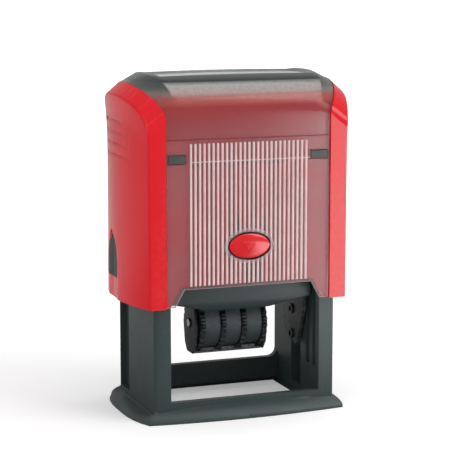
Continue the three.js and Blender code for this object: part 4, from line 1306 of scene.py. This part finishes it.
@dataclass
class TopCap:
    """Smoked cap over the top, with the index card under its window."""

    form: CaseForm = CaseForm()
    gap: float = 0.3
    thickness: float = 1.6
    window_front: float = 11.0
    card_half: float = 27.0
    card_bulge: float = 1.0
    lens: float = 0.9
    card: float = 0.35
    # How far the side edges of the outer and the inner face are drawn in.
    drawn: Span = (0.6, 0.3)

    def build(self) -> None:
        """Builds the cap, its window and the card."""
        for node, offset, thickness, margin, step, finish, slot in (
            ("top_cap", 0.0, self.thickness, 0.0, "DIFFERENCE", Finishes.CAP, "smoke_plastic"),
            ("card_window", 0.0, self.lens, self.gap, "INTERSECT", Finishes.LENS, "smoke_plastic"),
            ("index_card", self.lens + self.gap, self.card, self.gap, "INTERSECT", Finishes.CARD, "card"),
        ):
            piece = self._sheet(f"{node}_finished", offset, thickness)
            Meshes.carve(piece, [self._prism(margin)], step)
            Meshes.smooth(piece)
            seat(wear(piece, finish), "cap", [node])

    def _sheet(self, name: str, offset: float, thickness: float) -> Piece:
        """Returns an arched sheet set in by an offset."""
        outer = self.form.grid(offset, self.gap, self.form.ledge, drawn=self.drawn[0])
        inner = self.form.grid(offset + thickness, self.gap, self.form.ledge, drawn=self.drawn[1])
        return Meshes.sheet(name, outer, inner)

    def _prism(self, margin: float) -> Piece:
        """Returns the upright prism over the card, less a margin."""
        steps = 16
        side = []
        for i in range(steps + 1):
            y = (self.window_front - margin) * (2 * i / steps - 1)
            bulge = self.card_bulge * max(0.0, 1 - (y / self.window_front) ** 2)
            side.append((self.card_half - margin + bulge, y))
        outline = [*side, *[(-x, y) for x, y in reversed(side)]]
        return Meshes.prism("card_prism", outline, "z", (self.form.ledge, self.form.top.crown + 1))


@dataclass
class LockButton:
    """Domed oval push button with a raised downward triangle, and its catch."""

    panel_face: float = 22.6
    proud: float = 1.3
    # Shares of the oval at which the dome has its rings.
    dome: tuple[float, ...] = (1.0, 0.995, 0.98, 0.955, 0.92, 0.86, 0.78, 0.68, 0.55, 0.4, 0.25, 0.1)
    base: float = 21.2
    flange: float = 1.2
    flange_y: Span = (-20.3, -21.3)
    stem_radius: float = 1.6
    stem_y: Span = (-20.8, -18.0)
    arrow: float = 2.1
    line: float = 0.5
    arrow_corners: tuple[Flat, ...] = ((-1.0, 0.6), (0.0, -0.9), (1.0, 0.6))
    # Corners of the triangle's line, as share of its half width and height over the dome.
    line_section: tuple[Flat, ...] = ((1.0, -0.1), (0.6, 0.24), (-0.6, 0.24), (-1.0, -0.1))

    def build(self) -> None:
        """Builds the button and its catch."""
        flange = Meshes.loft("flange", [self._ring(y, self.flange) for y in self.flange_y])
        rings = [self._ring(-self._depth(share), 0.0, share) for share in self.dome]
        body = Meshes.loft("button_body", [self._ring(-self.base, 0.0), *rings])
        shaft = Meshes.oval(self.stem_radius, self.stem_radius, (0.0, BUTTON_HEIGHT), 32)
        stem = Meshes.prism("stem", shaft, "y", self.stem_y)
        parts = [wear(part, Finishes.BUTTON) for part in (body, stem, self._mark())]
        # The flange behind the button wears the dark finish as painted shadow in the gap round the button.
        button = Meshes.merge("lock_button_finished", [*parts, wear(flange, Finishes.DARK)])
        Meshes.smooth(button)
        seat(button, "button", ["lock_button"])
        KeptPiece("button_catch", "case", "dark_plastic", Finishes.DARK, 0.2).build()

    def _ring(self, y: float, margin: float, share: float = 1.0) -> list[Point]:
        """Returns one oval ring of the button at a depth."""
        return [(x, y, z) for x, z in button_oval(margin, share)]

    def _depth(self, share: float) -> float:
        """Returns how far from the middle the dome lies at a share of its oval."""
        crown, shoulder = self.panel_face + self.proud, self.panel_face + self.proud / 3
        return shoulder + (crown - shoulder) * math.sqrt(1 - share**2)

    def _mark(self) -> Piece:
        """Returns the raised outline of the triangle on the dome, as an open sheet."""
        path: list[Flat] = []
        ends = [*self.arrow_corners[1:], self.arrow_corners[0]]
        for (x0, z0), (x1, z1) in zip(self.arrow_corners, ends):
            path += [(x0 + (x1 - x0) * t / 6, z0 + (z1 - z0) * t / 6) for t in range(6)]
        loops = []
        for share, lift in self.line_section:
            size = self.arrow + self.line * share
            loop = []
            for x, z in ((x * size, z * size) for x, z in path):
                reach = min(1.0, math.hypot(x / BUTTON_HALF[0], z / BUTTON_HALF[1]))
                loop.append((x, -(self._depth(reach) + lift), BUTTON_HEIGHT + z))
            loops.append(loop)
        return Meshes.loft("mark", loops, ends=False)


@dataclass
class BaseFrame:
    """Slate frame: flared foot with a centre mark in front, sill, rear bar, two columns and the deck."""

    mark_x: Span = (-0.14, 0.14)
    mark_y: Span = (-26.0, -24.1)
    mark_z: Span = (-0.5, 3.4)

    def build(self) -> None:
        """Builds the frame."""
        piece = KeptPiece("base_frame", "frame", "slate_plastic", Finishes.SLATE, 0.3).build()
        Meshes.carve(piece, [Meshes.box("centre_mark", self.mark_x, self.mark_y, self.mark_z)])
        Meshes.smooth(piece)


@dataclass
class InkCartridge:
    """Pad cartridge under the deck, with its felt pad."""

    half_length: float = 24.8
    half_depth: float = 14.6
    foot: float = 47.9
    top: float = 52.9
    sag: float = 0.35
    corner: float = 1.6

    def build(self) -> None:
        """Builds the cartridge and its pad."""
        KeptPiece("pad_tray", "frame", "dark_plastic", Finishes.DARK, 0.25).build()
        seat(wear(self._pad(), Finishes.FELT), "frame", ["ink_pad"])

    def _pad(self) -> Piece:
        """Returns the felt pad: rounded corners, a soft rim and a face that hangs a little fuller in the middle."""
        above = [(inset, self.top - drop) for inset, drop in ((0.5, 0.0), (0.1, 0.4), (0.0, 1.0))]
        below = [(inset, self.foot + rise) for inset, rise in ((0.0, 1.2), (0.15, 0.6))]
        shares = ((0.7, 0.9), (2.5, 0.5), (6.0, 0.2), (10.0, 0.0))
        face = [(inset, self.foot + self.sag * share) for inset, share in shares]
        loops = [[(x, y, z) for x, y in self._ring(inset)] for inset, z in above + below + face]
        pad = Meshes.loft("ink_pad_finished", loops)
        Meshes.smooth(pad, 60.0)
        return pad

    def _ring(self, inset: float) -> list[Flat]:
        """Returns the pad's rounded outline set in by an amount."""
        count = 8
        w, d, r = self.half_length - inset, self.half_depth - inset, max(0.2, self.corner - inset)
        points: list[Flat] = []
        for k, (sx, sy) in enumerate(((1, 1), (-1, 1), (-1, -1), (1, -1))):
            for i in range(count + 1):
                turn = math.pi / 2 * (k + i / count)
                points.append((sx * (w - r) + r * math.cos(turn), sy * (d - r) + r * math.sin(turn)))
        return points


@dataclass
class ReturnSpring:
    """Coil spring between the frame's deck and the case."""

    radius: float = 6.0
    wire: float = 0.65
    turns: float = 7.5
    foot: float = 61.1
    top: float = 103.7
    stroke: float = 28.5

    def _rise(self, turn: float) -> float:
        """Returns the wire's height after some turns: its ends lie flat."""
        length = self.top - self.foot - 2 * self.wire
        pitch = length / (self.turns - 1)
        if turn < 1:
            return pitch * turn**2 / 2
        if turn > self.turns - 1:
            return length - pitch * (self.turns - turn) ** 2 / 2
        return pitch * (turn - 0.5)

    def build(self) -> None:
        """Builds the spring between the deck and the case."""
        steps, sides = 36, 12
        count = round(self.turns * steps)
        centres = []
        for i in range(count + 1):
            angle, height = 2 * math.pi * i / steps, self.foot + self.wire + self._rise(i / steps)
            centres.append(Vector((self.radius * math.cos(angle), self.radius * math.sin(angle), height)))
        angles = [2 * math.pi * k / sides for k in range(sides)]
        loops = []
        for i, at in enumerate(centres):
            along = (centres[min(count, i + 1)] - centres[max(0, i - 1)]).normalized()
            outward = Vector((at.x, at.y, 0)).normalized()
            upward = along.cross(outward).normalized()
            across = upward.cross(along).normalized()
            loops.append([tuple(at + self.wire * (math.cos(t) * across + math.sin(t) * upward)) for t in angles])
        spring = Meshes.loft("return_spring_finished", loops)
        Meshes.smooth(spring, 60.0)
        seat(wear(spring, Finishes.STEEL), "frame", ["return_spring"])
        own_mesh(spring)


@dataclass
class DieUnit:
    """Turning die unit with its carrier, rubber face, cheeks, pins and the arms that carry it."""

    def build(self) -> None:
        """Builds the unit's pieces."""
        KeptPiece("die_carrier", "die_unit", "slate_plastic", Finishes.CARRIER, 0.3).build()
        KeptPiece("text_die", "die_unit", "die_rubber", Finishes.DIE, 0.12).build()
        for side in ("left", "right"):
            KeptPiece(f"{side}_end_cheek", "die_unit", "dark_plastic", Finishes.DARK, 0.2).build()
            KeptPiece(f"{side}_pivot_pin", "case", "spring_steel", Finishes.STEEL, 0.2).build()
            KeptPiece(f"{side}_drive_arm", "case", "dark_plastic", Finishes.DARK, 0.2).build()


@dataclass
class Dater:
    """Dater: side plates, axle, bridge, bar with its lands, bands and thumb wheels."""

    names: tuple[str, ...] = ("day", "month", "year")
    # How far each land keeps from its band's sides, from the bar's faces and from the band above, in millimetres;
    # it goes as deep into the bar as it keeps from the band.
    land_room: Point = (0.3, 0.1, 0.2)
    bar_rounding: float = 0.12

    def build(self) -> None:
        """Builds the dater's pieces."""
        for side in ("left", "right"):
            KeptPiece(f"{side}_dater_plate", "die_unit", "dark_plastic", Finishes.DARK, 0.15).build()
        KeptPiece("band_axle", "die_unit", "spring_steel", Finishes.STEEL, 0.2).build()
        self._bar()
        KeptPiece("band_bridge", "die_unit", "dark_plastic", Finishes.DARK, 0.15).build()
        for name in self.names:
            KeptPiece(f"{name}_band", "die_unit", "band_rubber", Finishes.BAND, 0.15).build()
            KeptPiece(f"{name}_wheel", f"{name}_dial", "dark_plastic", Finishes.WHEEL, 0.15).build()

    def _bar(self) -> None:
        """Builds the bar at the wheels' foot, with a low land under each band."""
        bar = Meshes.copy_node("detent_bar", "detent_bar_finished")
        (_, front, _), (_, back, top) = (corner / MM for corner in corners(bar))
        beside, within, under = self.land_room
        lands = []
        for name in self.names:
            band = Meshes.copy_node(f"{name}_band", f"{name}_shape")
            low, high = (corner / MM for corner in corners(band))
            bpy.data.objects.remove(band)
            width, depth = (low.x + beside, high.x - beside), (front + within, back - within)
            lands.append(Meshes.box(f"{name}_land", width, depth, (top - under, low.z - under)))
        Meshes.carve(bar, lands, "UNION")
        Meshes.round_edges(bar, self.bar_rounding)
        seat(wear(bar, Finishes.DARK), "die_unit", ["detent_bar"])


# ---------------------------------------------------------------- studio


@dataclass
class Studio:
    """Camera, pale floor, soft lamps and white surroundings."""

    # The camera, in degrees, millimetres and pixels.
    heading: float = 20.448
    pitch: float = 9.020
    place: Point = (-200.1076, -536.9393, 152.6010)
    focal_pixels: float = 1694.963
    picture: int = 451
    sensor: float = 36.0
    floor_reach: float = 3000.0
    floor_shade: float = 0.93
    # How reflections see the floor: its levels at two places in y, in metres.
    mirror_y: Span = (0.0, 0.25)
    mirror_shades: Span = (0.22, 0.8)
    # How the eye sees the floor shine, at two distances from the stamp.
    glow_reach: Span = (0.1, 0.6)
    glows: Span = (0.3, 1.2)
    # The bright patch of floor that reflections see in front.
    card_glow: float = 4.8
    card_slant: float = 0.42
    card_x: Span = (-0.02, 0.035)
    card_y: Span = (-0.04, -0.12)
    sky_light: float = 0.42
    # Name, place in metres, size and power of each lamp, and the point that they look at.
    lamps: tuple[tuple[str, Point, float, float], ...] = (
        ("key", (0.75, -0.75, 0.75), 0.7, 5.2),
        ("fill", (-0.9, -0.6, 0.45), 0.9, 2.2),
        ("top", (0.25, -0.1, 1.1), 1.0, 4.6),
    )
    target: Point = (0.0, 0.0, 0.06)

    def build(self) -> None:
        """Builds the whole set."""
        self._camera()
        self._floor()
        self._world()
        for lamp in self.lamps:
            self._lamp(*lamp)

    def _camera(self) -> None:
        """Sets the camera where the photograph was taken from."""
        turn, tilt = math.radians(self.heading), math.radians(self.pitch)
        right = Vector((math.cos(turn), -math.sin(turn), 0.0))
        ahead = Vector((math.sin(turn) * math.cos(tilt), math.cos(turn) * math.cos(tilt), -math.sin(tilt)))
        upward = right.cross(ahead)
        lens = bpy.data.cameras.new("photograph")
        lens.sensor_width = self.sensor
        lens.lens = self.focal_pixels * self.sensor / self.picture
        lens.clip_start = 0.01
        camera = place_object("photograph", lens)
        turnings = Matrix((right, upward, -ahead)).transposed().to_4x4()
        camera.matrix_world = Matrix.Translation(Vector(self.place) * MM) @ turnings
        bpy.context.scene.camera = camera

    def _floor(self) -> None:
        """Lays the pale floor."""
        square = [(x * self.floor_reach, y * self.floor_reach, 0) for x, y in ((-1, -1), (1, -1), (1, 1), (-1, 1))]
        floor = Meshes.make("floor", square, [(0, 1, 2, 3)])
        made = bpy.data.materials.new("pale floor")
        made.use_nodes = True
        shader = made.node_tree.nodes["Principled BSDF"]
        bench = NodeBench(made.node_tree)
        path = bench.add("ShaderNodeLightPath").outputs
        place = bench.place()
        x, y = bench.axis(place, "X"), bench.axis(place, "Y")
        reflected = bench.blend(bench.ramp(y, *self.mirror_y), *(grey(shade) for shade in self.mirror_shades))
        away = bench.add("ShaderNodeVectorMath", operation="LENGTH")
        bench.link(place, away.inputs[0])
        glow = bench.ramp(away.outputs["Value"], *self.glow_reach, self.glows)
        sideways = bench.math("ADD", x, bench.math("MULTIPLY", y, self.card_slant))
        card = bench.math(
            "MULTIPLY", bench.ramp(sideways, *self.card_x, (0.0, self.card_glow)), bench.ramp(y, *self.card_y)
        )
        seen = bench.math("MULTIPLY", path["Is Camera Ray"], glow)
        shone = bench.math("MULTIPLY", path["Is Glossy Ray"], card)
        for label, value in (
            ("Roughness", 0.6),
            ("Specular IOR Level", 0.2),
            ("Emission Color", grey(1.0)),
            ("Base Color", bench.blend(path["Is Glossy Ray"], grey(self.floor_shade), reflected)),
            ("Emission Strength", bench.math("ADD", seen, shone)),
        ):
            bench.feed(shader.inputs[label], value)
        floor.data.materials.append(made)

    def _world(self) -> None:
        """Makes the surroundings white to the eye and pale as light."""
        world = bpy.data.worlds.new("studio")
        world.use_nodes = True
        bpy.context.scene.world = world
        bench = NodeBench(world.node_tree)
        output = world.node_tree.nodes["World Output"]
        lit = world.node_tree.nodes["Background"]
        lit.inputs["Color"].default_value = grey(1.0)
        lit.inputs["Strength"].default_value = self.sky_light
        seen = bench.add("ShaderNodeBackground", {"Color": grey(1.0), "Strength": 1.0})
        path = bench.add("ShaderNodeLightPath")
        rays = bench.math("MAXIMUM", path.outputs["Is Camera Ray"], path.outputs["Is Transmission Ray"])
        mix = bench.add("ShaderNodeMixShader")
        bench.link(rays, mix.inputs[0])
        bench.link(lit.outputs[0], mix.inputs[1])
        bench.link(seen.outputs[0], mix.inputs[2])
        bench.link(mix.outputs[0], output.inputs["Surface"])

    def _lamp(self, name: str, place: Point, size: float, power: float) -> None:
        """Hangs a square area lamp at a place in metres, turned to the stamp's middle."""
        light = bpy.data.lights.new(name, "AREA")
        light.shape = "SQUARE"
        light.size = size
        light.energy = power
        lamp = place_object(name, light)
        lamp.location = place
        lamp.rotation_euler = (Vector(self.target) - Vector(place)).to_track_quat("-Z", "Y").to_euler()


def main() -> None:
    """Builds the studio and every sub-assembly of the stamp in order."""
    logging.basicConfig(level=logging.INFO, format="%(name)s: %(message)s")
    bpy.context.scene.view_settings.view_transform = "Standard"
    Studio().build()
    for assembly in (
        BaseFrame, InkCartridge, ReturnSpring, DieUnit, Dater, Case, ClearPanels, TopCap, LockButton
    ):
        assembly().build()


if __name__ == "__main__":
    main()
